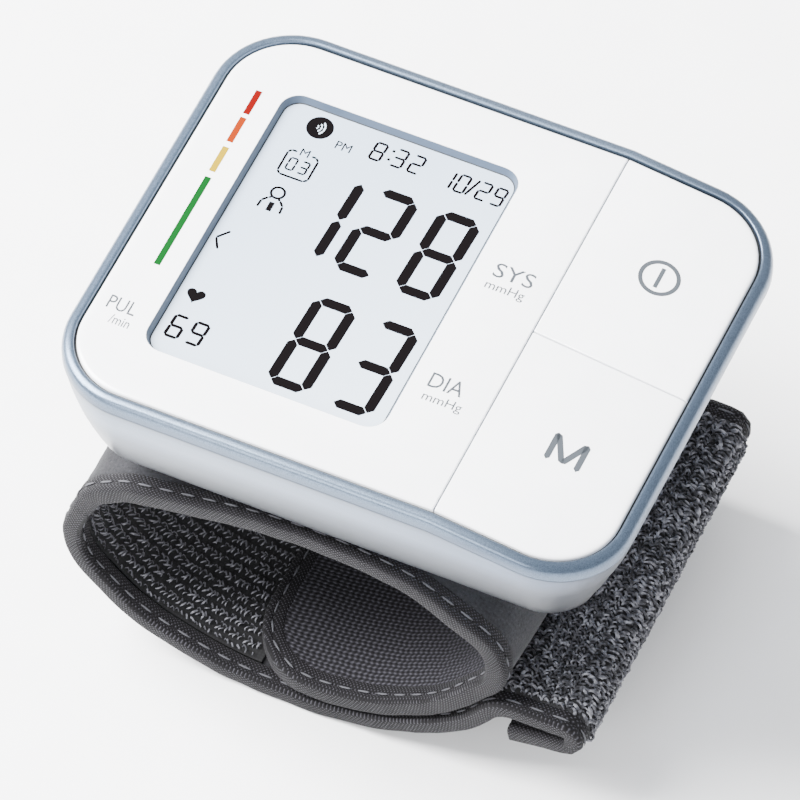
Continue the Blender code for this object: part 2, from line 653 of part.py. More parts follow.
def make_cuff():
    ribbon = Ribbon(CUFF_CORNERS, 1)
    end = ribbon.length
    inner_half = CUFF_HALF_Y - BINDING_WIDTH - GAP
    inner_corner = FLAP_CORNER - BINDING_WIDTH - GAP
    inner_start = BINDING_WIDTH + GAP
    nipple_room = as_object("nipple_room", upright_rod(2.0 + GAP, NIPPLE_X, 0, (15, 23)))
    names = (("cuff_cover", COVER_LAYER, SUEDE), ("cuff_stiffener", STIFFENER_LAYER, BLACK_PLASTIC),
             ("air_bladder", BLADDER_LAYER, BLADDER_RUBBER), ("cuff_lining", LINING_LAYER, KNIT))
    for name, heights, surface in names:
        sheet = layer(ribbon, inner_start, end, inner_half, heights, inner_corner)
        made = as_object(name, sheet, surface)
        if name in ("cuff_cover", "cuff_stiffener"):
            boolean(made, nipple_room)
    binding = layer(ribbon, 0, end, CUFF_HALF_Y, CUFF_BINDING_LAYER, FLAP_CORNER)
    binding = as_object("cuff_binding", binding, WEAVE)
    heights = (CUFF_BINDING_LAYER[0] - 0.8, CUFF_BINDING_LAYER[1] + 0.8)
    inside = layer(ribbon, BINDING_WIDTH, end + 3, CUFF_HALF_Y - BINDING_WIDTH, heights,
                   FLAP_CORNER - BINDING_WIDTH)
    boolean(binding, as_object("binding_inside", inside))

    saddle = as_object("cuff_saddle", block((-15.0, 11.0), (-17.0, 17.0), (15, 26), 3, 3), GREY_PLASTIC)
    below_arch = arch_cylinder("below_arch", ARCH_RADIUS - GAP)
    boolean(saddle, below_arch, "INTERSECT")
    band = layer(ribbon, ribbon.distance_at(20, 1), ribbon.distance_at(-24, -1), 22, (-12, GAP))
    boolean(saddle, as_object("saddle_seat", band))
    boolean(saddle, as_object("saddle_nipple_hole", upright_rod(2.0 + GAP, NIPPLE_X, 0, (15, 26))))
    for index, (x, y) in enumerate(SADDLE_SCREWS, 1):
        boolean(saddle, as_object(f"saddle_bore_{index}", upright_rod(1.2, x, y, (15, 30), 12)))
        saddle_screw(f"saddle_screw_{index}", x, y)


def saddle_screw(name, x, y):
    """A short screw from inside the housing, down into the saddle."""
    floor = ARCH_DEPTH - FLOOR_THICKNESS + x * x / (2 * ARCH_RADIUS)
    head = upright_rod(1.9, x, y, (floor - GAP - 1.1, floor - GAP), 12)
    made = as_object(name, head, STEEL)
    shank = upright_rod(0.9, x, y, (floor - GAP - 0.5, floor + 3.2), 12)
    boolean(made, as_object(name + "_shank", shank), "UNION")


def make_strap():
    ribbon = Ribbon(STRAP_CORNERS, 1)
    end = ribbon.length
    inner_half = CUFF_HALF_Y - BINDING_WIDTH - GAP
    strip_middle = CUFF_HALF_Y - BINDING_WIDTH / 2
    origin = (HINGE[0], 0, HINGE[1] + FACE_Z)
    web = layer(ribbon, 0, end, inner_half, (-STRAP_HALF, STRAP_HALF))
    web = as_object("strap_web", web, WEAVE, origin)
    pin = rod(STRAP_HALF, (HINGE[0], -inner_half, origin[2]), (HINGE[0], inner_half, origin[2]), 16)
    boolean(web, as_object("web_round_end", pin), "UNION")
    for name, side in (("front", -1), ("back", 1)):
        strip = layer(ribbon, 0, end, BINDING_WIDTH / 2, (-STRAP_HALF, STRAP_HALF),
                      middle_y=side * strip_middle)
        made = as_object(f"strap_binding_{name}", strip, WEAVE, origin)
        reaches = (-BINDING_WIDTH / 2, BINDING_WIDTH / 2)
        ends = [(HINGE[0], side * (strip_middle + reach), origin[2]) for reach in reaches]
        boolean(made, as_object(f"strip_round_end_{name}", rod(STRAP_HALF, *ends, 16)), "UNION")
    inside = -STRAP_HALF - GAP
    flap_start = ribbon.distance_at(-17.5, -1)
    field = layer(ribbon, 7.0, flap_start, inner_half - 0.5, (inside - PATCH_THICKNESS, inside))
    as_object("hook_field", field, HOOK, origin)
    pile = layer(ribbon, ribbon.distance_at(27.4, 0), end - TUCKED_END, inner_half - 0.5,
                 (inside - PATCH_THICKNESS, inside))
    as_object("pile_patch", pile, PILE, origin)


def main():
    make_rim()
    make_upper_housing()
    make_lower_housing()
    make_display_panel()
    make_key("power", 1)
    make_key("memory", -1)
    make_button_board()
    make_lcd()
    make_boards()
    make_batteries()
    make_pump()
    make_valve()
    make_air_lines()
    make_cuff()
    make_strap()


main()
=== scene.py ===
# %% [markdown]
# # A wrist blood pressure monitor
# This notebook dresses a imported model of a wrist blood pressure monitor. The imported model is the
# frame: it says where every part is and how it moves. Each step below makes one piece or one finish.

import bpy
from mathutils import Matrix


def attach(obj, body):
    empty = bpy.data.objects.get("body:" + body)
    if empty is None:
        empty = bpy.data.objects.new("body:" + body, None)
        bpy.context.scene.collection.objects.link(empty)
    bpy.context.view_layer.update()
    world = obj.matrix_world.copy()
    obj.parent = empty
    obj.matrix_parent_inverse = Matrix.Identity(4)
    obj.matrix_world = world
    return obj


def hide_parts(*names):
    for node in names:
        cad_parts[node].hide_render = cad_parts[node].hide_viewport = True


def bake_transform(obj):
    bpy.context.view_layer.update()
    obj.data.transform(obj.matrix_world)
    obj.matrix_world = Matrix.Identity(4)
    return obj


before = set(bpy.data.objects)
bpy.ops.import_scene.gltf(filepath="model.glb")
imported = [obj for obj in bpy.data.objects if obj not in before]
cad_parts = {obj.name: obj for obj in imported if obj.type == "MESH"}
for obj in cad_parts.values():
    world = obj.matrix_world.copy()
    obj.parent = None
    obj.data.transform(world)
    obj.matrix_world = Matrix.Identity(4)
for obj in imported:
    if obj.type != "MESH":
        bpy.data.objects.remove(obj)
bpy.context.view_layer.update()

# %% Modules and units
import math
import random

import bmesh
import bpy
from mathutils import Matrix, Vector, noise

MM = 0.001
FACE_Z = 64.3 * MM
print("the display face lies", FACE_Z, "metres above the table")

# %% [markdown]
# The camera looks down on the display from the front left. A long lens far away keeps the housing's
# edges almost parallel, as a catalogue picture does. The floor is pale, and three large soft lamps
# stand round it, because silver lacquer shows nothing but what it mirrors.

# %% Camera
VIEW_RIGHT = Vector((math.cos(math.radians(24.5)), math.sin(math.radians(24.5)), 0))
VIEW_TILT = math.radians(53.7)
VIEW_BACK = Vector((VIEW_RIGHT.y * math.cos(VIEW_TILT), -VIEW_RIGHT.x * math.cos(VIEW_TILT),
                    math.sin(VIEW_TILT)))
CAMERA_DISTANCE = 1.15
FRAME_WIDTH = 800 / 7.29 * MM

camera_data = bpy.data.cameras.new("studio_camera")
camera = bpy.data.objects.new("studio_camera", camera_data)
bpy.context.scene.collection.objects.link(camera)
camera_up = VIEW_BACK.cross(VIEW_RIGHT)
aim = Vector((0, 0, FACE_Z)) - VIEW_RIGHT * 2.67 * MM - camera_up * 15.12 * MM
place = Matrix((VIEW_RIGHT, camera_up, VIEW_BACK)).transposed().to_4x4()
place.translation = aim + VIEW_BACK * CAMERA_DISTANCE
camera.matrix_world = place
camera_data.sensor_width = 36
camera_data.lens = 36 * CAMERA_DISTANCE / FRAME_WIDTH
camera_data.clip_start = 0.05
bpy.context.scene.camera = camera
print("the lens is", round(camera_data.lens), "mm long")


# %% [markdown]
# Colours are written as sRGB hex values, as a colour chart gives them. Blender's shaders work in
# linear light, so one function turns the first into the second. A second function adds a node with
# its settings and links in one line, so that a material reads like a recipe.

# %% Colour and node helpers
def linear(hex_colour):
    """An sRGB hex colour as linear RGBA."""
    channels = [int(hex_colour[i:i + 2], 16) / 255 for i in (0, 2, 4)]
    return tuple(c / 12.92 if c <= 0.04045 else ((c + 0.055) / 1.055) ** 2.4 for c in channels) + (1.0,)


def add_node(tree, kind, settings=None, links=None, **values):
    """Adds a node; settings are its properties, values its sockets, links its incoming sockets."""
    node = tree.nodes.new(kind)
    for name, value in (settings or {}).items():
        setattr(node, name, value)
    for name, value in values.items():
        key = int(name[1:]) if name[0] == "_" and name[1:].isdigit() else name.replace("_", " ")
        node.inputs[key].default_value = value
    for name, source in (links or {}).items():
        tree.links.new(source, node.inputs[name])
    return node


def new_finish(name, colour, roughness, metallic=0.0, **sockets):
    """A Principled material with its constants set on the shader; returns it with tree and shader."""
    finish = bpy.data.materials.new(name)
    finish.use_nodes = True
    tree = finish.node_tree
    shader = tree.nodes["Principled BSDF"]
    shader.inputs["Base Color"].default_value = linear(colour)
    shader.inputs["Roughness"].default_value = roughness
    shader.inputs["Metallic"].default_value = metallic
    for socket, value in sockets.items():
        shader.inputs[socket.replace("_", " ")].default_value = value
    return finish, tree, shader


def ramp(tree, factor, stops, interpolation="LINEAR"):
    """A colour ramp between (position, hex) stops."""
    node = add_node(tree, "ShaderNodeValToRGB", links={"Fac": factor})
    node.color_ramp.interpolation = interpolation
    while len(node.color_ramp.elements) < len(stops):
        node.color_ramp.elements.new(0.5)
    for element, (position, colour) in zip(node.color_ramp.elements, stops):
        element.position = position
        element.color = linear(colour)
    return node.outputs["Color"]


print("linear mid grey is", round(linear("808080")[0], 3))

# %% Floor and lamps
bpy.ops.object.select_all(action="DESELECT")
bpy.ops.mesh.primitive_plane_add(size=6, location=(0, 0, -0.0002))
floor = bpy.context.object
floor.name = "studio_floor"
paper, paper_tree, paper_shader = new_finish("white_paper_sweep", "f7f7f8", 0.9)
grain = add_node(paper_tree, "ShaderNodeTexNoise", Scale=400.0)
paper_shade = ramp(paper_tree, grain.outputs["Fac"], [(0.3, "f5f5f6"), (0.7, "f9f9fa")])
paper_tree.links.new(paper_shade, paper_shader.inputs["Base Color"])
floor.data.materials.append(paper)

world = bpy.data.worlds.new("studio_world")
world.use_nodes = True
world.node_tree.nodes["Background"].inputs["Color"].default_value = linear("f6f8fb")
world.node_tree.nodes["Background"].inputs["Strength"].default_value = 1.5
bpy.context.scene.world = world


def soft_lamp(name, where, size, watts):
    """A large square lamp that faces the housing."""
    data = bpy.data.lights.new(name, "AREA")
    data.size = size
    data.energy = watts
    lamp = bpy.data.objects.new(name, data)
    bpy.context.scene.collection.objects.link(lamp)
    lamp.location = where
    towards = Vector((0, 0, 0.03)) - Vector(where)
    lamp.rotation_euler = towards.to_track_quat("-Z", "Y").to_euler()
    return lamp


soft_lamp("overhead_softbox", (-0.62, -0.10, 0.80), 0.7, 90.0)
soft_lamp("front_softbox", (-0.10, -0.95, 0.55), 0.5, 9.0)
soft_lamp("left_strip", (-0.95, -0.05, 0.35), 0.35, 2.0)
print("three lamps stand round the floor")

# %% [markdown]
# Pieces are modelled by hand moves: add a primitive, go into edit mode, pick faces or edges by their
# place, extrude and inset. Three small helpers keep that readable. Everything is deselected before
# each move, because an operator works on all that is selected.

# %% Modelling helpers
def begin_edit(piece):
    """Selects only this piece and opens it in edit mode with nothing picked."""
    bpy.ops.object.select_all(action="DESELECT")
    piece.select_set(True)
    bpy.context.view_layer.objects.active = piece
    bpy.ops.object.mode_set(mode="EDIT")
    bpy.ops.mesh.select_all(action="DESELECT")


def pick(piece, kind, test):
    """In edit mode, picks the faces or edges that pass a test."""
    bpy.ops.mesh.select_mode(type={"faces": "FACE", "edges": "EDGE", "verts": "VERT"}[kind])
    cage = bmesh.from_edit_mesh(piece.data)
    chosen = [item for item in getattr(cage, kind) if test(item)]
    for item in chosen:
        item.select_set(True)
    bmesh.update_edit_mesh(piece.data)
    return len(chosen)


def end_edit(outward=False):
    """Leaves edit mode; outward turns every face out first."""
    if outward:
        bpy.ops.mesh.select_all(action="SELECT")
        bpy.ops.mesh.normals_make_consistent(inside=False)
    bpy.ops.object.mode_set(mode="OBJECT")


def apply_modifier(piece, kind, **settings):
    """Adds a modifier, sets it and applies it."""
    bpy.ops.object.select_all(action="DESELECT")
    piece.select_set(True)
    bpy.context.view_layer.objects.active = piece
    modifier = piece.modifiers.new(kind.lower(), kind)
    for name, value in settings.items():
        setattr(modifier, name, value)
    bpy.ops.object.modifier_apply(modifier=modifier.name)


def cut_with(piece, tool, operation="DIFFERENCE", keep_tool=False):
    """An exact Boolean with another solid, which is then thrown away."""
    apply_modifier(piece, "BOOLEAN", operation=operation, solver="EXACT", object=tool)
    if not keep_tool:
        bpy.data.objects.remove(tool, do_unlink=True)


def dress(piece, name, finish, body="housing", stands_for=(), smooth_angle=35):
    """Names a piece, gives it its finish and smooth shading, and hangs it on its body.

    A piece of the strap is not hung on a body; its place is baked into its mesh.
    """
    piece.name = name
    piece.data.name = name
    piece.data.materials.clear()
    piece.data.materials.append(finish)
    bpy.ops.object.select_all(action="DESELECT")
    piece.select_set(True)
    bpy.context.view_layer.objects.active = piece
    bpy.ops.object.shade_smooth_by_angle(angle=math.radians(smooth_angle))
    if body == "strap":
        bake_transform(piece)
    else:
        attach(piece, body)
    if stands_for:
        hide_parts(*stands_for)
    print(name, "has", len(piece.data.polygons), "faces")
    return piece


# %% [markdown]
# The housing is a rounded rectangle seen from above, so every shell of it starts as a plane whose
# four corners are rounded. Inset and move the face again and again, and the outline keeps its even
# distance to the wall, as a moulded wall does. The right third of the face leans down by 8 degrees
# towards the keys: one bisect makes the crease, and the points right of it sink.

# %% Rounded plates
HALF_X, HALF_Y, CORNER = 42.1, 35.1, 12.0
SLOPE_X = 17.0
SLOPE = math.tan(math.radians(8))


def rounded_plate(half_x, half_y, depth, corner, centre=(0, 0), segments=14):
    """A flat face with round corners; all lengths in millimetres, depth below the display face."""
    bpy.ops.object.select_all(action="DESELECT")
    spot = (centre[0] * MM, centre[1] * MM, FACE_Z - depth * MM)
    bpy.ops.mesh.primitive_plane_add(size=2, location=spot)
    plate = bpy.context.object
    plate.scale = (half_x * MM, half_y * MM, 1)
    bpy.ops.object.transform_apply(location=True, rotation=True, scale=True)
    begin_edit(plate)
    bpy.ops.mesh.select_all(action="SELECT")
    bpy.ops.mesh.bevel(offset=corner * MM, segments=segments, affect="VERTICES")
    end_edit()
    return plate


def build_up(plate, steps):
    """Raises the plate's face through (inset, rise) steps in millimetres, and leaves a closed solid."""
    begin_edit(plate)
    bpy.ops.mesh.select_all(action="SELECT")
    for inset, rise in steps:
        if inset:
            bpy.ops.mesh.inset(thickness=inset * MM, use_even_offset=True)
            bpy.ops.transform.translate(value=(0, 0, rise * MM))
        else:
            bpy.ops.mesh.extrude_region_move(TRANSFORM_OT_translate={"value": (0, 0, rise * MM)})
    end_edit(outward=True)
    return plate


def slab(half_x, half_y, top, bottom, corner, centre=(0, 0), segments=14):
    """A plain rounded slab between two depths, for cutting."""
    plate = rounded_plate(half_x, half_y, bottom, corner, centre, segments)
    return build_up(plate, [(0, bottom - top)])


def lean_right(piece, fade=None):
    """Sinks what lies right of the crease; fade is the pair of depths where the lean dies out."""
    begin_edit(piece)
    bpy.ops.mesh.select_all(action="SELECT")
    bpy.ops.mesh.bisect(plane_co=(SLOPE_X * MM, 0, 0), plane_no=(1, 0, 0))
    end_edit()
    for vert in piece.data.vertices:
        sink = max(0.0, vert.co.x - SLOPE_X * MM) * SLOPE
        if fade:
            depth = (FACE_Z - vert.co.z) / MM
            sink *= min(1.0, max(0.0, (fade[1] - depth) / (fade[1] - fade[0])))
        vert.co.z -= sink
    return piece


def slice_off(piece, point, normal):
    """Cuts away the side that the normal points to and closes the cut."""
    begin_edit(piece)
    bpy.ops.mesh.select_all(action="SELECT")
    spot = tuple(value * MM for value in point)
    bpy.ops.mesh.bisect(plane_co=spot, plane_no=normal, clear_outer=True, use_fill=True)
    end_edit(outward=True)
    return piece


print("the housing is", 2 * HALF_X, "by", 2 * HALF_Y, "mm")

# %% [markdown]
# The silver is a metallic lacquer on ABS plastic: aluminium flakes under a clear coat. Up close the
# flakes give a fine sparkle, drawn here as noise 0.15 mm across, which is coarser than the true
# 0.03 mm so that it shows. The clear coat gives the sharp highlight, the flakes the soft one.

# %% Silver lacquer
def shade(hex_colour, factor):
    """A hex colour made lighter or darker."""
    channels = [min(255, round(int(hex_colour[i:i + 2], 16) * factor)) for i in (0, 2, 4)]
    return "".join(f"{c:02x}" for c in channels)


def silver_lacquer(name, tones, ends, roughness, sparkle):
    """Tones are (depth in mm, hex) down the wall, painted highlight and painted shade; ends darken the far
    left and the far right as painted shade.
    """
    finish, tree, shader = new_finish(name, tones[0][1], roughness, 0.78, Coat_Weight=0.2, Coat_Roughness=0.3)
    place = add_node(tree, "ShaderNodeTexCoord")
    axes = add_node(tree, "ShaderNodeSeparateXYZ", links={"Vector": place.outputs["Object"]})
    depth = add_node(tree, "ShaderNodeMapRange", links={"Value": axes.outputs["Z"]})
    depth.inputs["From Min"].default_value = FACE_Z
    depth.inputs["From Max"].default_value = FACE_Z - 22 * MM
    tone = ramp(tree, depth.outputs["Result"], [(d / 22, colour) for d, colour in tones])
    across = add_node(tree, "ShaderNodeMapRange", links={"Value": axes.outputs["X"]})
    across.inputs["From Min"].default_value = -42 * MM
    across.inputs["From Max"].default_value = 42 * MM
    ends_tone = ramp(tree, across.outputs["Result"], ends)
    blended = add_node(tree, "ShaderNodeMix", {"data_type": "RGBA", "blend_type": "MULTIPLY"},
                       {6: tone, 7: ends_tone}, _0=1.0)
    flakes = add_node(tree, "ShaderNodeTexNoise", links={"Vector": place.outputs["Object"]},
                      Scale=1 / (0.15 * MM), Detail=2.0)
    grain = ramp(tree, flakes.outputs["Fac"], [(0.35, shade("ffffff", 1 - sparkle)), (0.6, "ffffff")])
    glitter = add_node(tree, "ShaderNodeMix", {"data_type": "RGBA", "blend_type": "MULTIPLY"},
                       {6: blended.outputs[2], 7: grain}, _0=1.0)
    tree.links.new(glitter.outputs[2], shader.inputs["Base Color"])
    return finish


# The rim's tones are painted light: lighter on the crown, and painted shade darker down its side and at the
# far left.
RIM_PAINTED_LIGHT_TONES = [(0, "667587"), (1.2, "5a6879"), (2.3, "4b5869"), (6, "566475")]
RIM_PAINTED_LIGHT_ENDS = [(0.0, "dfe6ee"), (0.3, "ffffff"), (1.0, "f4f7fa")]
rim_lacquer = silver_lacquer("silver_lacquer_on_abs_rim", RIM_PAINTED_LIGHT_TONES, RIM_PAINTED_LIGHT_ENDS, 0.3, 0.22)
# The wall's tones are painted light: a painted highlight high on the wall, and painted shade darkening it
# towards the bottom and at both ends, for the floor and cuff that the lacquer mirrors.
WALL_PAINTED_LIGHT_TONES = [(2.0, "3f4a57"), (4.2, "687585"), (6.5, "6b7888"),
              (10.0, "3f4c5b"), (14.0, "28333f"), (18.0, "1b242f"), (21, "141b23")]
WALL_PAINTED_LIGHT_ENDS = [(0.0, "3f5673"), (0.05, "7c93ac"), (0.1, "eef3f8"), (0.3, "ffffff"),
             (0.62, "eef2f8"), (0.82, "bccadb"), (0.93, "7488a0"), (1.0, "46566b")]
wall_lacquer = silver_lacquer("silver_lacquer_on_abs_wall", WALL_PAINTED_LIGHT_TONES, WALL_PAINTED_LIGHT_ENDS, 0.32, 0.06)
print("two silver lacquers are mixed")

# %% [markdown]
# The white face is glossy ABS with a hard coat, the lower shell the same plastic in pale blue and
# with less shine. Moulded plastic is never quite even: a slow, faint noise in its roughness breaks
# the reflections a little.

# %% Moulded plastics
def moulded_plastic(name, colour, roughness, coat=0.0, unevenness=0.04, grain_mm=6.0, grit=0.0):
    finish, tree, shader = new_finish(name, colour, roughness, Coat_Weight=coat, Coat_Roughness=0.04)
    place = add_node(tree, "ShaderNodeTexCoord")
    cloud = add_node(tree, "ShaderNodeTexNoise", links={"Vector": place.outputs["Object"]},
                     Scale=1 / (grain_mm * MM), Detail=3.0)
    span = add_node(tree, "ShaderNodeMapRange", links={"Value": cloud.outputs["Fac"]})
    span.inputs["To Min"].default_value = roughness - unevenness
    span.inputs["To Max"].default_value = roughness + unevenness
    tree.links.new(span.outputs["Result"], shader.inputs["Roughness"])
    tree.links.new(ramp(tree, cloud.outputs["Fac"], [(0.3, shade(colour, 0.985)), (0.7, colour)]),
                   shader.inputs["Base Color"])
    if grit:
        spark = add_node(tree, "ShaderNodeTexNoise", links={"Vector": place.outputs["Object"]},
                         Scale=1 / (0.3 * MM), Detail=2.0)
        bump = add_node(tree, "ShaderNodeBump", links={"Height": spark.outputs["Fac"]},
                        Strength=grit, Distance=0.02 * MM)
        tree.links.new(bump.outputs["Normal"], shader.inputs["Normal"])
    return finish


white_abs = moulded_plastic("white_gloss_abs", "f7f8fb", 0.16, coat=0.5)
pale_abs = moulded_plastic("pale_blue_satin_abs", "b4c3d8", 0.3, coat=0.2)
slate_abs = moulded_plastic("slate_satin_abs", "404d5f", 0.4)
black_abs = moulded_plastic("black_matt_abs", "0d0e10", 0.6, grit=0.3)
print("the plastics are ready")

# %% [markdown]
# The rim is a convex silver ring round the face. Its section is drawn by the steps: up the outer
# wall, over the crown, and down the inner wall to where the face plate sits. Deleting the two
# caps and bridging their edges turns the solid into a ring.

# %% Silver rim
RIM_STEPS = [(0, 0.9), (0.08, 0.5), (0.17, 0.38), (0.25, 0.27), (0.35, 0.17), (0.4, 0.07),
             (0.3, -0.02), (0.12, -0.08), (0.06, -0.14), (0.04, -0.4), (0.02, -1.6)]
rim = rounded_plate(HALF_X, HALF_Y, 2.3, CORNER)
begin_edit(rim)
bpy.ops.mesh.select_all(action="SELECT")
for inset, rise in RIM_STEPS:
    if inset:
        bpy.ops.mesh.inset(thickness=inset * MM, use_even_offset=True)
        bpy.ops.transform.translate(value=(0, 0, rise * MM))
    else:
        bpy.ops.mesh.extrude_region_move(TRANSFORM_OT_translate={"value": (0, 0, rise * MM)})
bpy.ops.mesh.delete(type="FACE")
pick(rim, "faces", lambda f: f.calc_area() > 1e-3)
bpy.ops.mesh.delete(type="ONLY_FACE")
bpy.ops.mesh.select_mode(type="EDGE")
bpy.ops.mesh.select_non_manifold()
bpy.ops.mesh.bridge_edge_loops()
end_edit(outward=True)
lean_right(rim)
dress(rim, "silver_rim", rim_lacquer, stands_for=("bezel_ring",), smooth_angle=50)

# %% [markdown]
# Below the rim the wall leans in and curves under, like a shallow boat hull. An arc gives the lean
# and a tighter arc the turn of the bilge. The shell is hollow: a second hull, one wall smaller, is
# cut from the first. Its lower edge climbs towards the right and shows the pale shell under it.

# %% Silver wall
WALL_TOP = 2.6
BILGE_DEPTH = 18.6
BILGE_RADIUS = 4.4


def hull_inset(depth):
    """How far the wall has leaned in at a depth, down to where the bilge begins."""
    run = depth - WALL_TOP
    return 0.12 + run * math.tan(math.radians(8)) + run * run / 120


def hull(inset, top, depths):
    """A closed solid with the hull's outline, pulled in by an inset, built from the top down."""
    start = hull_inset(top)
    plate = rounded_plate(HALF_X - inset - start, HALF_Y - inset - start, top, CORNER - inset - start)
    steps = []
    previous, level = start, top
    for depth in depths:
        steps.append((hull_inset(depth) - previous, level - depth))
        previous, level = hull_inset(depth), depth
    lean = math.atan(math.tan(math.radians(8)) + (BILGE_DEPTH - WALL_TOP) / 60)
    turns = [lean + (math.pi / 2 - lean) * i / 7 for i in range(8)]
    for before, after in zip(turns, turns[1:]):
        steps.append((BILGE_RADIUS * (math.cos(before) - math.cos(after)),
                      -BILGE_RADIUS * (math.sin(after) - math.sin(before))))
    return build_up(plate, steps)


WALL_DEPTHS = (4.0, 6.0, 8.0, 10.0, 12.0, 14.0, 16.0, 17.4, BILGE_DEPTH)


def skirt_depth(x):
    """Depth of the silver wall's lower edge: right down at the left, higher at the right."""
    share = min(1.0, max(0.0, (x + 4) / 20))
    return 21.9 - 2.9 * share * share * (3 - 2 * share)


def skirt_cutter():
    """A block whose top follows the silver wall's lower edge."""
    bpy.ops.object.select_all(action="DESELECT")
    bpy.ops.mesh.primitive_grid_add(x_subdivisions=44, y_subdivisions=1, size=2, location=(0, 0, 0))
    block = bpy.context.object
    block.scale = (50 * MM, 45 * MM, 1)
    bpy.ops.object.transform_apply(location=True, rotation=True, scale=True)
    for vert in block.data.vertices:
        vert.co.z = FACE_Z - skirt_depth(vert.co.x / MM) * MM
    begin_edit(block)
    bpy.ops.mesh.select_all(action="SELECT")
    bpy.ops.mesh.extrude_region_move(TRANSFORM_OT_translate={"value": (0, 0, -10 * MM)})
    end_edit(outward=True)
    return block


def box_cutter(x_range, y_range, depth_range):
    """A plain block for cutting, in millimetres."""
    bpy.ops.object.select_all(action="DESELECT")
    centre = [sum(pair) / 2 * MM for pair in (x_range, y_range)] + [FACE_Z - sum(depth_range) / 2 * MM]
    bpy.ops.mesh.primitive_cube_add(size=1, location=centre)
    block = bpy.context.object
    block.scale = [abs(pair[1] - pair[0]) * MM for pair in (x_range, y_range, depth_range)]
    bpy.ops.object.transform_apply(location=True, rotation=True, scale=True)
    return block


SCREEN_X, SCREEN_HALF_X, SCREEN_HALF_Y = -13.0, 18.1, 24.3
wall = lean_right(hull(0.0, WALL_TOP, WALL_DEPTHS), fade=(WALL_TOP, 13.0))
cut_with(wall, slab(17.5, 23.7, -1, 9, 2.4, (SCREEN_X, 0)))
hollow = lean_right(hull(1.0, 4.1, WALL_DEPTHS[1:]), fade=(4.1, 13.0))
begin_edit(hollow)
pick(hollow, "faces", lambda f: f.calc_area() > 1e-3 and f.calc_center_median().z < FACE_Z - 15 * MM)
bpy.ops.transform.translate(value=(0, 0, -6 * MM))
end_edit()
cut_with(wall, hollow)
cut_with(wall, skirt_cutter())
cut_with(wall, box_cutter((30, 60), (-26.2, 26.2), (15.6, 30)))
dress(wall, "silver_wall", wall_lacquer, stands_for=("upper_housing",))

# %% [markdown]
# The face is one white plate in three pieces: the display panel and two keys, with hairline grooves
# between them. All three are cut from one plate whose border rolls off softly. A key is thinner than
# the panel, so it can travel down to its switch.

# %% White face
FACE_HALF_X, FACE_HALF_Y, FACE_CORNER = 40.0, 32.9, 9.8
GROOVE = 0.13


def face_plate(thickness):
    """The whole face as one plate with a soft rolled border, leaning to the right."""
    plate = rounded_plate(FACE_HALF_X, FACE_HALF_Y, thickness, FACE_CORNER)
    steps = [(0, thickness - 0.42), (0.04, 0.12), (0.1, 0.12), (0.16, 0.09), (0.3, 0.05), (0.5, 0.03),
             (0.5, 0.01)]
    return lean_right(build_up(plate, steps))


def soften_cut(piece, test):
    """Rounds the sharp top edges that a cut left."""
    begin_edit(piece)
    pick(piece, "edges", test)
    bpy.ops.mesh.bevel(offset=0.14 * MM, segments=3, affect="EDGES")
    end_edit(outward=True)


def on_top(edge, x=None, y=None):
    """True for an edge on the upper side that lies on a cut at x or at y, in millimetres."""
    points = [vert.co / MM for vert in edge.verts]
    if x is not None and any(abs(p.x - x) > 0.02 for p in points):
        return False
    if y is not None and any(abs(p.y - y) > 0.02 for p in points):
        return False
    depths = [FACE_Z / MM - p.z - max(0.0, p.x - SLOPE_X) * SLOPE for p in points]
    return all(depth < 0.3 for depth in depths)


panel = slice_off(face_plate(2.2), (SLOPE_X - GROOVE, 0, 0), (1, 0, 0))
soften_cut(panel, lambda e: on_top(e, x=SLOPE_X - GROOVE))
cut_with(panel, slab(SCREEN_HALF_X, SCREEN_HALF_Y, -1, 5, 3.0, (SCREEN_X, 0), 8))
dress(panel, "white_display_panel", white_abs, stands_for=("display_panel",))

for name, side in (("power", 1), ("memory", -1)):
    key = slice_off(face_plate(1.8), (SLOPE_X + GROOVE, 0, 0), (-1, 0, 0))
    key = slice_off(key, (0, side * GROOVE, 0), (0, -side, 0))
    soften_cut(key, lambda e: on_top(e, x=SLOPE_X + GROOVE) or on_top(e, y=side * GROOVE))
    dress(key, f"{name}_key_cap", white_abs, f"{name}_key", (f"{name}_button",))

# %% [markdown]
# A thin black sheet of painted shade lies between the face and the wall, where the joints are only in shadow.
# Its edge is the dark line under the rim, and its lip the dark line between rim and face. Two slate strips of
# painted shade lie in the grooves of the keys.

# %% Painted shade in the joints
# Painted shade: a black sheet that darkens the joint under the rim.
rim_joint_shade_sheet = lean_right(slab(HALF_X - 0.55, HALF_Y - 0.55, 2.28, 2.56, CORNER - 0.55))
dress(rim_joint_shade_sheet, "black_gasket", black_abs)


def ring(outer, inner, centre_x, segments=8):
    """A closed ring between two rounded outlines, each (half x, half y, depth, corner)."""
    lower = rounded_plate(inner[0], inner[1], inner[2], inner[3], (centre_x, 0), segments)
    upper = rounded_plate(outer[0], outer[1], outer[2], outer[3], (centre_x, 0), segments)
    bpy.ops.object.select_all(action="DESELECT")
    lower.select_set(True)
    upper.select_set(True)
    bpy.context.view_layer.objects.active = upper
    bpy.ops.object.join()
    begin_edit(upper)
    bpy.ops.mesh.select_all(action="SELECT")
    bpy.ops.mesh.delete(type="ONLY_FACE")
    bpy.ops.mesh.select_all(action="SELECT")
    bpy.ops.mesh.bridge_edge_loops()
    end_edit(outward=True)
    return upper


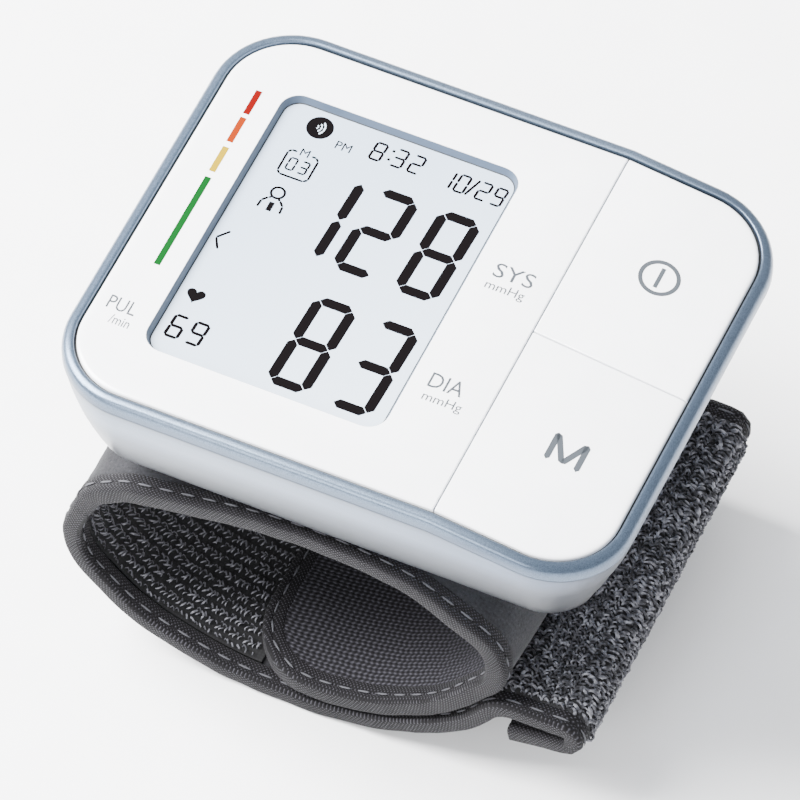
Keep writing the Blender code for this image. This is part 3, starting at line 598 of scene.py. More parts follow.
# Painted shade: a black lip that darkens the gap between the face and the rim.
face_gap_shade_sheet = lean_right(ring((FACE_HALF_X + 0.3, FACE_HALF_Y + 0.3, 0.9, FACE_CORNER + 0.3),
                      (FACE_HALF_X - 0.02, FACE_HALF_Y - 0.02, 0.9, FACE_CORNER - 0.02), 0, 14))
apply_modifier(face_gap_shade_sheet, "SOLIDIFY", thickness=0.3 * MM, offset=0)
dress(face_gap_shade_sheet, "face_gap_painted_shade", black_abs)
# Painted shade: slate strips that darken the grooves between the keys and the panel.
long_groove_shade_sheet = box_cutter((SLOPE_X - 0.11, SLOPE_X + 0.02), (-32.6, 32.6), (0.5, 2.0))
dress(long_groove_shade_sheet, "long_groove_painted_shade", slate_abs)
short_groove_shade_sheet = lean_right(box_cutter((SLOPE_X + 0.1, 39.8), (-0.11, 0.11), (0.5, 1.6)))
dress(short_groove_shade_sheet, "short_groove_painted_shade", slate_abs)

# %% [markdown]
# The display sits a millimetre below the face. A slate-coloured frame slopes down to it, and a thin
# black seal closes the joint. The liquid crystal itself is a pale grey-blue behind a polished lens;
# its colour is a slow gradient across the glass, a little brighter towards its lower right, as painted light.

# %% Screen frame and seal
frame_outer = (SCREEN_HALF_X - 0.02, SCREEN_HALF_Y - 0.02, 0.1, 2.98)
frame_inner = (SCREEN_HALF_X - 0.42, SCREEN_HALF_Y - 0.42, 1.12, 2.6)
screen_frame = ring(frame_outer, frame_inner, SCREEN_X)
apply_modifier(screen_frame, "SOLIDIFY", thickness=0.12 * MM, offset=0)
dress(screen_frame, "slate_screen_frame", slate_abs)
seal_outer = (SCREEN_HALF_X - 0.44, SCREEN_HALF_Y - 0.44, 1.16, 2.58)
seal_inner = (SCREEN_HALF_X - 0.62, SCREEN_HALF_Y - 0.62, 1.18, 2.42)
screen_seal = ring(seal_outer, seal_inner, SCREEN_X)
apply_modifier(screen_seal, "SOLIDIFY", thickness=0.08 * MM, offset=0)
dress(screen_seal, "black_screen_seal", black_abs)

# %% Liquid crystal face
crystal, tree, shader = new_finish("liquid_crystal_behind_acrylic", "b4c0cd", 0.3,
                                   Coat_Weight=0.25, Coat_Roughness=0.05)
place = add_node(tree, "ShaderNodeTexCoord")
turn = add_node(tree, "ShaderNodeMapping", links={"Vector": place.outputs["Object"]},
                Rotation=(0, 0, math.radians(50)), Scale=(1 / (62 * MM),) * 3)
turn.inputs["Location"].default_value = (0.35, 0.5, 0)
# Painted light: this gradient makes the crystal brighter towards its lower right.
painted_light_gradient = add_node(tree, "ShaderNodeTexGradient", links={"Vector": turn.outputs["Vector"]})
tree.links.new(ramp(tree, painted_light_gradient.outputs["Fac"], [(0.0, "a3b2c4"), (0.5, "b3c0ce"), (1.0, "c6cfd9")]),
               shader.inputs["Base Color"])
lens = build_up(rounded_plate(SCREEN_HALF_X - 0.3, SCREEN_HALF_Y - 0.3, 2.2, 2.7, (SCREEN_X, 0), 8),
                [(0, 0.95), (0.05, 0.05)])
dress(lens, "liquid_crystal_face", crystal, stands_for=("display_lens",))

# %% [markdown]
# The printing. Segments of the display are thin dark flats with mitred ends and a hairline between
# them. Each is a plane whose corners are bevelled until the ends meet in a point. Words are text
# turned to mesh and stretched to their printed size. What is printed on the sloping keys leans
# with them.

# %% Printing helpers
INK_RISE = 0.03
SCREEN_DEPTH = 1.2
SCREEN_SHIFT = (-0.36, 0.80)

SEGMENTS = {"0": "abcdef", "1": "bc", "2": "abged", "3": "abgcd", "5": "afgcd", "6": "afgedc",
            "8": "abcdefg", "9": "abcdfg"}


def flat_bar(start, end, width, depth):
    """A flat bar between two points, its ends mitred to a point."""
    bpy.ops.object.select_all(action="DESELECT")
    span = Vector((end[0] - start[0], end[1] - start[1], 0))
    middle = ((start[0] + end[0]) / 2 * MM, (start[1] + end[1]) / 2 * MM, FACE_Z - depth * MM)
    bpy.ops.mesh.primitive_plane_add(size=1, location=middle, rotation=(0, 0, math.atan2(span.y, span.x)))
    bar = bpy.context.object
    bar.scale = (span.length * MM, width * MM, 1)
    bpy.ops.object.transform_apply(location=True, rotation=True, scale=True)
    begin_edit(bar)
    bpy.ops.mesh.select_all(action="SELECT")
    bpy.ops.mesh.bevel(offset=width * 0.46 * MM, segments=1, affect="VERTICES")
    end_edit()
    return bar


def digit_bars(text, centre, size, width, slant=0.035, pitch=1.45):
    """Seven-segment figures; size is (width, height) of one figure and pitch its spacing in widths."""
    half_w, half_h = (size[0] - width) / 2, (size[1] - width) / 2
    corner = {"tl": (-half_w, half_h), "tr": (half_w, half_h), "ml": (-half_w, 0), "mr": (half_w, 0),
              "bl": (-half_w, -half_h), "br": (half_w, -half_h)}
    lines = {"a": ("tl", "tr"), "b": ("tr", "mr"), "c": ("mr", "br"), "d": ("bl", "br"),
             "e": ("ml", "bl"), "f": ("tl", "ml"), "g": ("ml", "mr")}
    bars = []
    for place, figure in enumerate(text):
        middle = centre[0] + (place - (len(text) - 1) / 2) * size[0] * pitch
        for letter in SEGMENTS.get(figure, ""):
            ends = [Vector(corner[name]) for name in lines[letter]]
            along = (ends[1] - ends[0]).normalized() * width * 0.09
            points = [ends[0] + along, ends[1] - along]
            placed = [(middle + p.x + slant * p.y, centre[1] + p.y) for p in points]
            bars.append(flat_bar(placed[0], placed[1], width, 0))
    return bars


def lettering(body, centre, size):
    """A word as flat mesh, stretched to (width, height) about its centre."""
    bpy.ops.object.select_all(action="DESELECT")
    bpy.ops.object.text_add(location=(0, 0, 0))
    word = bpy.context.object
    word.data.body = body
    word.data.resolution_u = 3
    bpy.ops.object.convert(target="MESH")
    xs = [vert.co.x for vert in word.data.vertices]
    ys = [vert.co.y for vert in word.data.vertices]
    for vert in word.data.vertices:
        vert.co.x = (centre[0] + ((vert.co.x - min(xs)) / (max(xs) - min(xs)) - 0.5) * size[0]) * MM
        vert.co.y = (centre[1] + ((vert.co.y - min(ys)) / (max(ys) - min(ys)) - 0.5) * size[1]) * MM
        vert.co.z = FACE_Z
    return word


def disc(centre, radius, inner=0.0, sides=36):
    """A flat disc, or a ring when it has an inner radius."""
    bpy.ops.object.select_all(action="DESELECT")
    spot = (centre[0] * MM, centre[1] * MM, FACE_Z)
    bpy.ops.mesh.primitive_circle_add(vertices=sides, radius=radius * MM, fill_type="NGON", location=spot)
    flat = bpy.context.object
    bpy.ops.object.transform_apply(location=True, rotation=True, scale=True)
    if inner:
        begin_edit(flat)
        bpy.ops.mesh.select_all(action="SELECT")
        bpy.ops.mesh.inset(thickness=(radius - inner) * MM)
        bpy.ops.mesh.delete(type="FACE")
        end_edit()
    return flat


def patch(centre, size):
    """A flat rectangle."""
    bpy.ops.object.select_all(action="DESELECT")
    spot = (centre[0] * MM, centre[1] * MM, FACE_Z)
    bpy.ops.mesh.primitive_plane_add(size=1, location=spot)
    flat = bpy.context.object
    flat.scale = (size[0] * MM, size[1] * MM, 1)
    bpy.ops.object.transform_apply(location=True, rotation=True, scale=True)
    return flat


def outline(points, width):
    """A line drawn as joined flat bars."""
    return [flat_bar(a, b, width, 0) for a, b in zip(points, points[1:])]


def print_on(flats, name, ink, depth, shift=(0, 0), body="housing"):
    """Joins flat shapes, lays them at a depth and gives them the thickness of ink."""
    bpy.ops.object.select_all(action="DESELECT")
    for flat in flats:
        flat.select_set(True)
    bpy.context.view_layer.objects.active = flats[0]
    if len(flats) > 1:
        bpy.ops.object.join()
    printed = bpy.context.object
    for vert in printed.data.vertices:
        vert.co.x += shift[0] * MM
        vert.co.y += shift[1] * MM
        vert.co.z = FACE_Z - depth * MM - max(0.0, vert.co.x - SLOPE_X * MM) * SLOPE
    begin_edit(printed)
    bpy.ops.mesh.select_all(action="SELECT")
    bpy.ops.mesh.remove_doubles(threshold=0.002 * MM)
    bpy.ops.mesh.extrude_region_move(TRANSFORM_OT_translate={"value": (0, 0, INK_RISE * MM)})
    end_edit(outward=True)
    return dress(printed, name, ink, body)


crystal_ink, _, _ = new_finish("liquid_crystal_ink", "0c0a0b", 0.6, Specular_IOR_Level=0.0)
grey_ink, _, _ = new_finish("grey_pad_printing_ink", "3c4045", 0.5, Specular_IOR_Level=0.1)
key_ink, _, _ = new_finish("dark_grey_pad_printing_ink", "3e4247", 0.5, Specular_IOR_Level=0.1)
print("inks are ready")

# %% Display figures
figures = digit_bars("28", (-4.8, 6.35), (6.5, 15.6), 1.5, pitch=1.446)
figures += digit_bars("1", (-17.6, 6.35), (6.5, 15.6), 1.5)
figures += digit_bars("83", (-4.8, -14.7), (6.5, 16.4), 1.5, pitch=1.446)
print_on(figures, "pressure_figures", crystal_ink, SCREEN_DEPTH, SCREEN_SHIFT)

small = digit_bars("8", (-15.15, 19.55), (1.9, 3.4), 0.36, 0.06)
small += digit_bars("32", (-10.65, 19.65), (1.9, 3.4), 0.36, 0.06, 1.36)
small += [patch((-13.2, 20.5), (0.4, 0.4)), patch((-13.3, 18.9), (0.4, 0.4))]
small += digit_bars("10", (-3.3, 19.2), (1.8, 3.4), 0.36, 0.06, 1.22)
small += [flat_bar((-1.2, 17.6), (-0.1, 20.8), 0.34, 0)]
small += digit_bars("29", (2.2, 19.2), (1.8, 3.4), 0.36, 0.06, 1.3)
small += digit_bars("69", (-26.1, -19.5), (2.3, 4.2), 0.46, 0.05, 1.36)
small += digit_bars("03", (-24.3, 12.6), (1.35, 2.4), 0.28, 0.04, 1.36)
print_on(small, "small_figures", crystal_ink, SCREEN_DEPTH, SCREEN_SHIFT)

# %% [markdown]
# Small signs on the display: a radio sign made of plain waves, the afternoon mark, the memory box,
# a person, an arrow and a heart. The heart is a disc whose rim points are moved onto a heart curve.

# %% Display signs
signs = [lettering("PM", (-19.9, 18.3), (2.3, 1.4)), lettering("M", (-24.3, 15.1), (1.3, 1.3))]
signs += [disc((-24.3, 20.0), 1.95)]
signs += outline([(-26.2, 14.9), (-26.6, 14.4), (-26.6, 10.9), (-26.1, 10.4), (-22.5, 10.4), (-22.0, 10.9),
                  (-22.0, 14.4), (-22.5, 14.9), (-23.2, 14.9)], 0.32)
signs += outline([(-26.2, 14.9), (-25.4, 14.9)], 0.32)
signs += outline([(-26.5, 3.9), (-26.4, 5.2), (-25.7, 6.0), (-25.3, 6.2)], 0.34)
signs += outline([(-23.1, 3.9), (-23.2, 5.2), (-23.9, 6.0), (-24.3, 6.2)], 0.34)
signs += [disc((-24.8, 7.2), 1.15, 0.8, 20), lettering("1", (-24.8, 4.6), (0.75, 1.6))]
signs += outline([(-27.9, -1.6), (-29.3, -3.3), (-28.3, -5.1)], 0.34)
heart = disc((0, 0), 1.0, 0, 40)
for vert in heart.data.vertices:
    turn = math.atan2(vert.co.x, vert.co.y)
    wide = 16 * math.sin(turn) ** 3
    tall = 13 * math.cos(turn) - 5 * math.cos(2 * turn) - 2 * math.cos(3 * turn) - math.cos(4 * turn)
    vert.co.x, vert.co.y = (-27.6 + wide / 16 * 1.35) * MM, (-13.6 + tall / 16 * 1.35) * MM
signs += [heart]
print_on(signs, "display_signs", crystal_ink, SCREEN_DEPTH, SCREEN_SHIFT)
waves = []
for radius in (0.45, 0.95, 1.45):
    arc = [(-25.0 + radius * math.cos(a), 20.0 + radius * math.sin(a)) for a in (-0.85, -0.3, 0.3, 0.85)]
    waves += outline(arc, 0.24)
wave_ink, _, _ = new_finish("clear_crystal_gap", "b4c0cd", 0.5, Specular_IOR_Level=0.1)
print_on(waves, "radio_waves_sign", wave_ink, SCREEN_DEPTH - 0.02, SCREEN_SHIFT)

# %% [markdown]
# Printed on the white face: a four-colour risk scale beside the display, and the names and units of
# the readings in grey. The colours are pad-printed and flat, with a satin ink surface.

# %% Face printing
SCALE_BARS = (("red", "5a0200", 17.9, 22.4), ("orange", "742400", 12.5, 17.2),
              ("yellow", "8c7400", 6.8, 11.5),
              ("green", "003c12", -11.0, 5.7))
for name, colour, low, high in SCALE_BARS:
    ink, _, _ = new_finish(f"{name}_pad_printing_ink", colour, 0.5, Specular_IOR_Level=0.05)
    print_on([patch((-34.7, (low + high) / 2), (0.95, high - low))], f"{name}_scale_bar", ink,
             0.005)

words = [lettering("SYS", (10.9, 7.6), (5.9, 2.5)), lettering("mmHg", (10.7, 4.6), (5.8, 1.9)),
         lettering("DIA", (10.1, -13.2), (5.0, 2.5)), lettering("mmHg", (10.7, -16.3), (5.8, 1.9)),
         lettering("PUL", (-35.9, -19.3), (4.2, 2.3)), lettering("/min", (-35.1, -21.9), (3.0, 1.6))]
print_on(words, "reading_names", grey_ink, 0.005)
power_sign = [disc((28.7, 16.65), 2.98, 2.36, 48), patch((28.7, 16.65), (0.6, 3.5))]
print_on(power_sign, "power_sign", key_ink, 0.005, body="power_key")
memory_sign = outline([(26.9, -18.0), (26.9, -13.3)], 0.85) + outline([(31.3, -18.0), (31.3, -13.3)], 0.85)
memory_sign += outline([(26.95, -13.35), (29.1, -17.7)], 0.85)
memory_sign += outline([(31.25, -13.35), (29.1, -17.7)], 0.85)
print_on(memory_sign, "memory_sign", key_ink, 0.005, body="memory_key")

# %% [markdown]
# The lower shell shows as a pale strip along the bottom right and from below. It nests inside the
# silver skirt. Its underside is arched, like the wrist it sits over. The battery cover is cut from
# the same shell, so the two surfaces run on into each other.

# %% Lower shell and battery cover
def arch():
    """The long cylinder that hollows the underside."""
    bpy.ops.object.select_all(action="DESELECT")
    bpy.ops.mesh.primitive_cylinder_add(vertices=256, radius=150 * MM, depth=100 * MM,
                                        location=(0, 0, FACE_Z - (18.6 + 150) * MM),
                                        rotation=(math.pi / 2, 0, 0))
    bpy.ops.object.transform_apply(location=True, rotation=True, scale=True)
    return bpy.context.object


def lower_shell():
    """The whole lower half as one thin-walled pan."""
    pan = hull(1.1, 16.2, (17.4, BILGE_DEPTH))
    cut_with(pan, arch())
    inner = hull(2.5, 13.0, (15.0, 16.2))
    begin_edit(inner)
    pick(inner, "faces", lambda f: f.calc_center_median().z > FACE_Z - 13.01 * MM)
    bpy.ops.transform.translate(value=(0, 0, 2 * MM))
    end_edit()
    low = box_cutter((-60, 60), (-60, 60), (17.2, 40))
    cut_with(inner, low)
    cut_with(pan, inner)
    return pan


COVER_BOX = ((12.9, 60), (-26.0, 26.0), (15.9, 30))
pan = lower_shell()
cut_with(pan, box_cutter((12.75, 60), (-26.15, 26.15), (15.9, 30)))
dress(pan, "pale_lower_shell", pale_abs, stands_for=("lower_housing",))
cover = lower_shell()
cut_with(cover, box_cutter(*COVER_BOX), "INTERSECT")
dress(cover, "pale_battery_cover", pale_abs, "cover", ("battery_cover",))

# %% [markdown]
# The cuff is one long band that winds round the wrist and over itself. It is sewn flat before it is
# wound, so it is modelled flat: x runs along the band, y across it, and z is height over its middle
# line. When a piece is finished flat, each point is carried to its place beside a curved line in the
# side view. The flat place of each point is kept as UV, so the weave follows the cloth round.

# %% Winding helpers
CUFF_CORNERS = ((-14.5, -60.8, 0), (4.2, -61.4, 32), (18.2, -52.9, 30), (27.7, -40.2, 9), (26.0, -31.6, 9),
                (13.0, -23.2, 20), (-4.0, -19.9, 58),
                (-31.8, -26.2, 9), (-38.3, -30.6, 9), (-39.8, -34.85, 0))
STRAP_CORNERS = ((-37.2, -32.6, 0), (-41.8, -45.4, 12), (-30.5, -57.4, 22), (-16.5, -63.0, 36),
                 (5.0, -63.0, 34),
                 (20.6, -54.0, 22), (25.4, -46.1, 5), (37.0, -45.8, 1.55),
                 (37.2, -49.5, 1.55), (27.2, -51.3, 0))


def winding(corners):
    """The course of the band in the side view: a point and an outward direction every half millimetre."""
    rough = [Vector(corners[0][:2])]
    for before, (x, z, radius), after in zip(corners, corners[1:], corners[2:]):
        corner = Vector((x, z))
        back = (Vector(before[:2]) - corner).normalized()
        on = (Vector(after[:2]) - corner).normalized()
        half = back.angle(on) / 2
        centre = corner + (back + on).normalized() * (radius / math.sin(half))
        spoke = corner + back * (radius / math.tan(half)) - centre
        sense = 1 if back.y * on.x - back.x * on.y > 0 else -1
        sweep = math.pi - 2 * half
        count = max(2, round(sweep / 0.06))
        for i in range(count + 1):
            angle = sense * sweep * i / count
            rough.append(centre + Vector((spoke.x * math.cos(angle) - spoke.y * math.sin(angle),
                                          spoke.x * math.sin(angle) + spoke.y * math.cos(angle))))
    rough.append(Vector(corners[-1][:2]))
    even, carry = [rough[0]], 0.0
    for a, b in zip(rough, rough[1:]):
        length = (b - a).length
        while carry + length >= 0.5:
            step = 0.5 - carry
            a = a + (b - a).normalized() * step
            length -= step
            carry = 0.0
            even.append(a.copy())
        carry += length
    tangents = [(even[min(i + 2, len(even) - 1)] - even[max(i - 2, 0)]).normalized()
                for i in range(len(even))]
    return [(point, Vector((along.y, -along.x))) for point, along in zip(even, tangents)]


CUFF_LINE = winding(CUFF_CORNERS)
STRAP_LINE = winding(STRAP_CORNERS)
CUFF_LENGTH = (len(CUFF_LINE) - 1) * 0.5
STRAP_LENGTH = (len(STRAP_LINE) - 1) * 0.5


def wind(piece, line):
    """Keeps the flat place as UV, then carries every point to its place beside the line."""
    while piece.data.uv_layers:
        piece.data.uv_layers.remove(piece.data.uv_layers[0])
    flat = piece.data.uv_layers.new(name="flat")
    for loop in piece.data.loops:
        spot = piece.data.vertices[loop.vertex_index].co
        flat.data[loop.index].uv = (spot.x, spot.y + spot.z)
    for vert in piece.data.vertices:
        along = min(max(vert.co.x / MM / 0.5, 0.0), len(line) - 1.001)
        extra = vert.co.x / MM - along * 0.5
        here, there = line[int(along)], line[int(along) + 1]
        share = along - int(along)
        point = here[0].lerp(there[0], share)
        out = here[1].lerp(there[1], share).normalized()
        ahead = Vector((-out.y, out.x)) * extra
        height = vert.co.z / MM
        vert.co = ((point.x + out.x * height + ahead.x) * MM, vert.co.y,
                   FACE_Z + (point.y + out.y * height + ahead.y) * MM)


def band(start, end, half_width, corner, height):
    """A flat strip from start to end along the band, with round corners at its start."""
    bpy.ops.object.select_all(action="DESELECT")
    bpy.ops.mesh.primitive_plane_add(size=2, location=((start + end) / 2 * MM, 0, height * MM))
    strip = bpy.context.object
    strip.scale = ((end - start) / 2 * MM, half_width * MM, 1)
    bpy.ops.object.transform_apply(location=True, rotation=True, scale=True)
    if corner:
        begin_edit(strip)
        pick(strip, "verts", lambda v: v.co.x < (start + 1) * MM)
        bpy.ops.mesh.bevel(offset=corner * MM, segments=10, affect="VERTICES")
        end_edit()
    return strip


def slice_into_cells(piece, axis, low, high, step):
    """Cuts lines across a flat piece, so that it can bend there."""
    normal = (1, 0, 0) if axis == "x" else (0, 1, 0)
    begin_edit(piece)
    count = max(1, round((high - low) / step))
    for i in range(1, count):
        bpy.ops.mesh.select_all(action="SELECT")
        spot = (low + (high - low) * i / count) * MM
        bpy.ops.mesh.bisect(plane_co=(spot, spot, 0), plane_no=normal)
    end_edit()


def ripple(piece, depth, size, test=lambda v: True):
    """Small uneven rises and falls, as handled cloth has."""
    for vert in piece.data.vertices:
        if test(vert):
            spot = Vector((vert.co.x, vert.co.y, 0)) / (size * MM)
            vert.co.z += noise.noise(spot) * depth * MM


print("the cuff is", CUFF_LENGTH, "mm long and the strap", STRAP_LENGTH, "mm")

# %% [markdown]
# Cloth needs its thread. Five finishes follow: brushed suede for the outside, a ribbed knit for the
# lining, a dotted twill for the binding tape, and two for the hook and pile closure. Each pattern
# is sines of the flat place, so its pitch is a real length. The sheen of the suede is its nap
# catching light at a low angle.

# %% Cloth finishes
def sine(tree, value, period_mm, phase=None):
    """A wave from 0 to 1 over a length of cloth."""
    turns = add_node(tree, "ShaderNodeMath", {"operation": "MULTIPLY"}, {0: value},
                     _1=2 * math.pi / (period_mm * MM))
    if phase:
        turns = add_node(tree, "ShaderNodeMath", {"operation": "ADD"}, {0: turns.outputs[0], 1: phase})
    wave = add_node(tree, "ShaderNodeMath", {"operation": "SINE"}, {0: turns.outputs[0]})
    half = add_node(tree, "ShaderNodeMath", {"operation": "MULTIPLY_ADD"}, {0: wave.outputs[0]},
                    _1=0.5, _2=0.5)
    return half.outputs[0]


def flat_axes(tree):
    """The flat place of the cloth, along and across."""
    uv = add_node(tree, "ShaderNodeUVMap", {"uv_map": "flat"})
    axes = add_node(tree, "ShaderNodeSeparateXYZ", links={"Vector": uv.outputs["UV"]})
    return uv.outputs["UV"], axes.outputs["X"], axes.outputs["Y"]


def cloth_bump(tree, shader, height, strength, distance_mm):
    bump = add_node(tree, "ShaderNodeBump", links={"Height": height}, Strength=strength,
                    Distance=distance_mm * MM)
    tree.links.new(bump.outputs["Normal"], shader.inputs["Normal"])


def product(tree, a, b, operation="MULTIPLY"):
    return add_node(tree, "ShaderNodeMath", {"operation": operation}, {0: a, 1: b}).outputs[0]


suede, tree, shader = new_finish("brushed_polyester_suede", "303033", 0.95,
                                 Sheen_Weight=0.08, Sheen_Roughness=0.5,
                                 Specular_IOR_Level=0.1)
uv, along, across = flat_axes(tree)
nap = add_node(tree, "ShaderNodeTexNoise", links={"Vector": uv}, Scale=1 / (0.45 * MM),
               Detail=4.0, Roughness=0.7)
cloud = add_node(tree, "ShaderNodeTexNoise", links={"Vector": uv}, Scale=1 / (5 * MM), Detail=2.0)
fleck = ramp(tree, nap.outputs["Fac"], [(0.3, "0c0c0e"), (0.42, "232325"), (0.6, "2b2b2e"), (0.75, "3c3c3f")])
wash = ramp(tree, cloud.outputs["Fac"], [(0.3, "d8d8da"), (0.7, "ffffff")])
suede_tone = add_node(tree, "ShaderNodeMix", {"data_type": "RGBA", "blend_type": "MULTIPLY"},
                      {6: fleck, 7: wash}, _0=1.0)
tree.links.new(suede_tone.outputs[2], shader.inputs["Base Color"])
cloth_bump(tree, shader, nap.outputs["Fac"], 0.5, 0.12)

knit, tree, shader = new_finish("ribbed_polyester_knit", "1f1e22", 0.85, Specular_IOR_Level=0.15)
uv, along, across = flat_axes(tree)
zigzag = add_node(tree, "ShaderNodeMath", {"operation": "PINGPONG"}, {0: across}, _1=0.6 * MM)
lean = add_node(tree, "ShaderNodeMath", {"operation": "MULTIPLY"}, {0: zigzag.outputs[0]},
                _1=0.55 * 2 * math.pi / MM)
ribs = sine(tree, along, 1.0, lean.outputs[0])
stitches_across = sine(tree, across, 0.6)
knit_height = product(tree, ribs, stitches_across, "ADD")
scaled = add_node(tree, "ShaderNodeMath", {"operation": "MULTIPLY"}, {0: knit_height}, _1=0.5)
tree.links.new(ramp(tree, scaled.outputs[0], [(0.1, "0c0b0d"), (0.55, "1f1e22"), (0.95, "3b3a40")]),
               shader.inputs["Base Color"])
cloth_bump(tree, shader, scaled.outputs[0], 0.7, 0.25)

twill, tree, shader = new_finish("polyester_binding_tape", "141316", 0.8,
                                 Sheen_Weight=0.03, Specular_IOR_Level=0.15)
uv, along, across = flat_axes(tree)
both = product(tree, along, across, "ADD")
apart = product(tree, along, across, "SUBTRACT")
weave_height = product(tree, sine(tree, both, 0.62), sine(tree, apart, 0.62))
tree.links.new(ramp(tree, weave_height, [(0.0, "060507"), (0.45, "121114"), (0.9, "36353a")]),
               shader.inputs["Base Color"])
cloth_bump(tree, shader, weave_height, 0.7, 0.16)

hooks, tree, shader = new_finish("nylon_hook_tape", "242428", 0.6)
uv, along, across = flat_axes(tree)
base_weave = product(tree, sine(tree, along, 0.5), sine(tree, across, 0.5))
tree.links.new(ramp(tree, base_weave, [(0.0, "060607"), (1.0, "19191c")]), shader.inputs["Base Color"])
hook_thread, _, _ = new_finish("nylon_monofilament_hooks", "5c5c62", 0.4, Specular_IOR_Level=0.4)
pile_thread, tree, shader = new_finish("nylon_pile_loops", "27272a", 0.7,
                                       Sheen_Weight=0.04, Specular_IOR_Level=0.2)
place = add_node(tree, "ShaderNodeTexCoord")
patchy = add_node(tree, "ShaderNodeTexNoise", links={"Vector": place.outputs["Object"]},
                  Scale=1 / (1.0 * MM), Detail=2.0)
tree.links.new(ramp(tree, patchy.outputs["Fac"], [(0.32, "202023"), (0.5, "424247"), (0.68, "7d7d83")]),
               shader.inputs["Base Color"])
thread, tree, shader = new_finish("grey_polyester_thread", "47474b", 0.6, Specular_IOR_Level=0.1)
tape_grey, _, _ = new_finish("charcoal_pile_ground", "19191b", 0.95)
print("cloth finishes are ready")

# %% [markdown]
# The padded band is two closed cushions back to back: suede outside, knit inside. Each is a thin
# slab cut into cells. Cloth simulation blows its outer face up a little while the sewn border and
# the hidden face stay pinned. The work is done twenty times larger than life, since the simulation
# keeps its tolerances in whole millimetres, and no point may rise more than 1.1 mm.

# %% Padded band
PAD_LOW, PAD_MIDDLE, PAD_HIGH = -3.4, -1.8, -0.3
CUFF_HALF = 30.4
FLAP_CORNER = 11.0
LARGER = 20.0


def cushion(height, depth):
    """One closed half of the padded band; depth is up for the outside and down for the lining."""
    pad = band(0.6, CUFF_LENGTH - 0.4, CUFF_HALF - 0.6, FLAP_CORNER - 0.6, height)
    slice_into_cells(pad, "x", 0, CUFF_LENGTH, 1.6)
    slice_into_cells(pad, "y", -CUFF_HALF, CUFF_HALF, 1.6)
    begin_edit(pad)
    bpy.ops.mesh.select_all(action="SELECT")
    bpy.ops.mesh.extrude_region_move(TRANSFORM_OT_translate={"value": (0, 0, depth * MM)})
    end_edit(outward=True)
    face_height = (height + depth) * MM
    rest = [vert.co.copy() for vert in pad.data.vertices]
    border = 2.6 * MM
    pinned = [i for i, co in enumerate(rest)
              if abs(co.z - face_height) > 0.01 * MM or abs(co.y) > CUFF_HALF * MM - border or co.x < border
              or (co.x < FLAP_CORNER * MM and abs(co.y) > (CUFF_HALF - FLAP_CORNER) * MM
                  and Vector((FLAP_CORNER * MM - co.x, abs(co.y) - (CUFF_HALF - FLAP_CORNER) * MM)).length
                  > FLAP_CORNER * MM - border)]
    group = pad.vertex_groups.new(name="sewn")
    group.add(pinned, 1.0, "REPLACE")
    pad.data.transform(Matrix.Scale(LARGER, 4))
    cloth = pad.modifiers.new("cloth", "CLOTH")
    cloth.settings.quality = 4
    cloth.settings.mass = 0.3
    cloth.settings.tension_stiffness = 12
    cloth.settings.compression_stiffness = 12
    cloth.settings.bending_stiffness = 0.6
    cloth.settings.vertex_group_mass = "sewn"
    cloth.settings.use_pressure = True
    cloth.settings.uniform_pressure_force = 4.0
    cloth.settings.shrink_min = -0.03
    cloth.settings.effector_weights.gravity = 0.0
    cloth.point_cache.frame_start, cloth.point_cache.frame_end = 1, 20
    for step in range(1, 21):
        bpy.context.scene.frame_set(step)
    bpy.ops.object.select_all(action="DESELECT")
    pad.select_set(True)
    bpy.context.view_layer.objects.active = pad
    bpy.ops.object.modifier_apply(modifier="cloth")
    bpy.context.scene.frame_set(1)
    pad.data.transform(Matrix.Scale(1 / LARGER, 4))
    moves = [vert.co - before for vert, before in zip(pad.data.vertices, rest)]
    tallest = max(abs(move.z) for move in moves)
    share = min(1.0, 1.1 * MM / max(tallest, 1e-9))
    for vert, before, move in zip(pad.data.vertices, rest, moves):
        vert.co = before + move * share
    pad.vertex_groups.clear()
    print("the cloth rose", round(tallest / MM, 2), "mm and is kept to", round(tallest * share / MM, 2))
    return pad


outside = cushion(PAD_MIDDLE + 0.05, PAD_HIGH - PAD_MIDDLE - 0.25)
ripple(outside, 0.12, 9, lambda v: v.co.z > (PAD_MIDDLE + 0.5) * MM)
wind(outside, CUFF_LINE)
dress(outside, "suede_band_outside", suede, stands_for=("cuff_cover",), smooth_angle=60)
inside = cushion(PAD_MIDDLE - 0.05, PAD_LOW - PAD_MIDDLE + 0.25)
ripple(inside, 0.15, 7, lambda v: v.co.z < (PAD_MIDDLE - 0.5) * MM)
wind(inside, CUFF_LINE)
dress(inside, "knit_band_lining", knit, stands_for=("cuff_lining",), smooth_angle=60)

# %% [markdown]
# The edge of the band is bound with tape folded over it. Its section comes from insets, as the rim's
# did: up the side, over the fold, with a shallow groove where the stitches sink in. Half is built
# and mirrored, then Solidify gives the tape its thickness.

# %% Binding tape
TAPE_STEPS = ((0.1, 0.28), (0.28, 0.22), (0.42, 0.12), (0.4, -0.08), (0.16, -0.12), (0.16, 0.1), (0.45, 0.1),
              (0.6, 0.0), (0.45, -0.08), (0.1, -0.12))


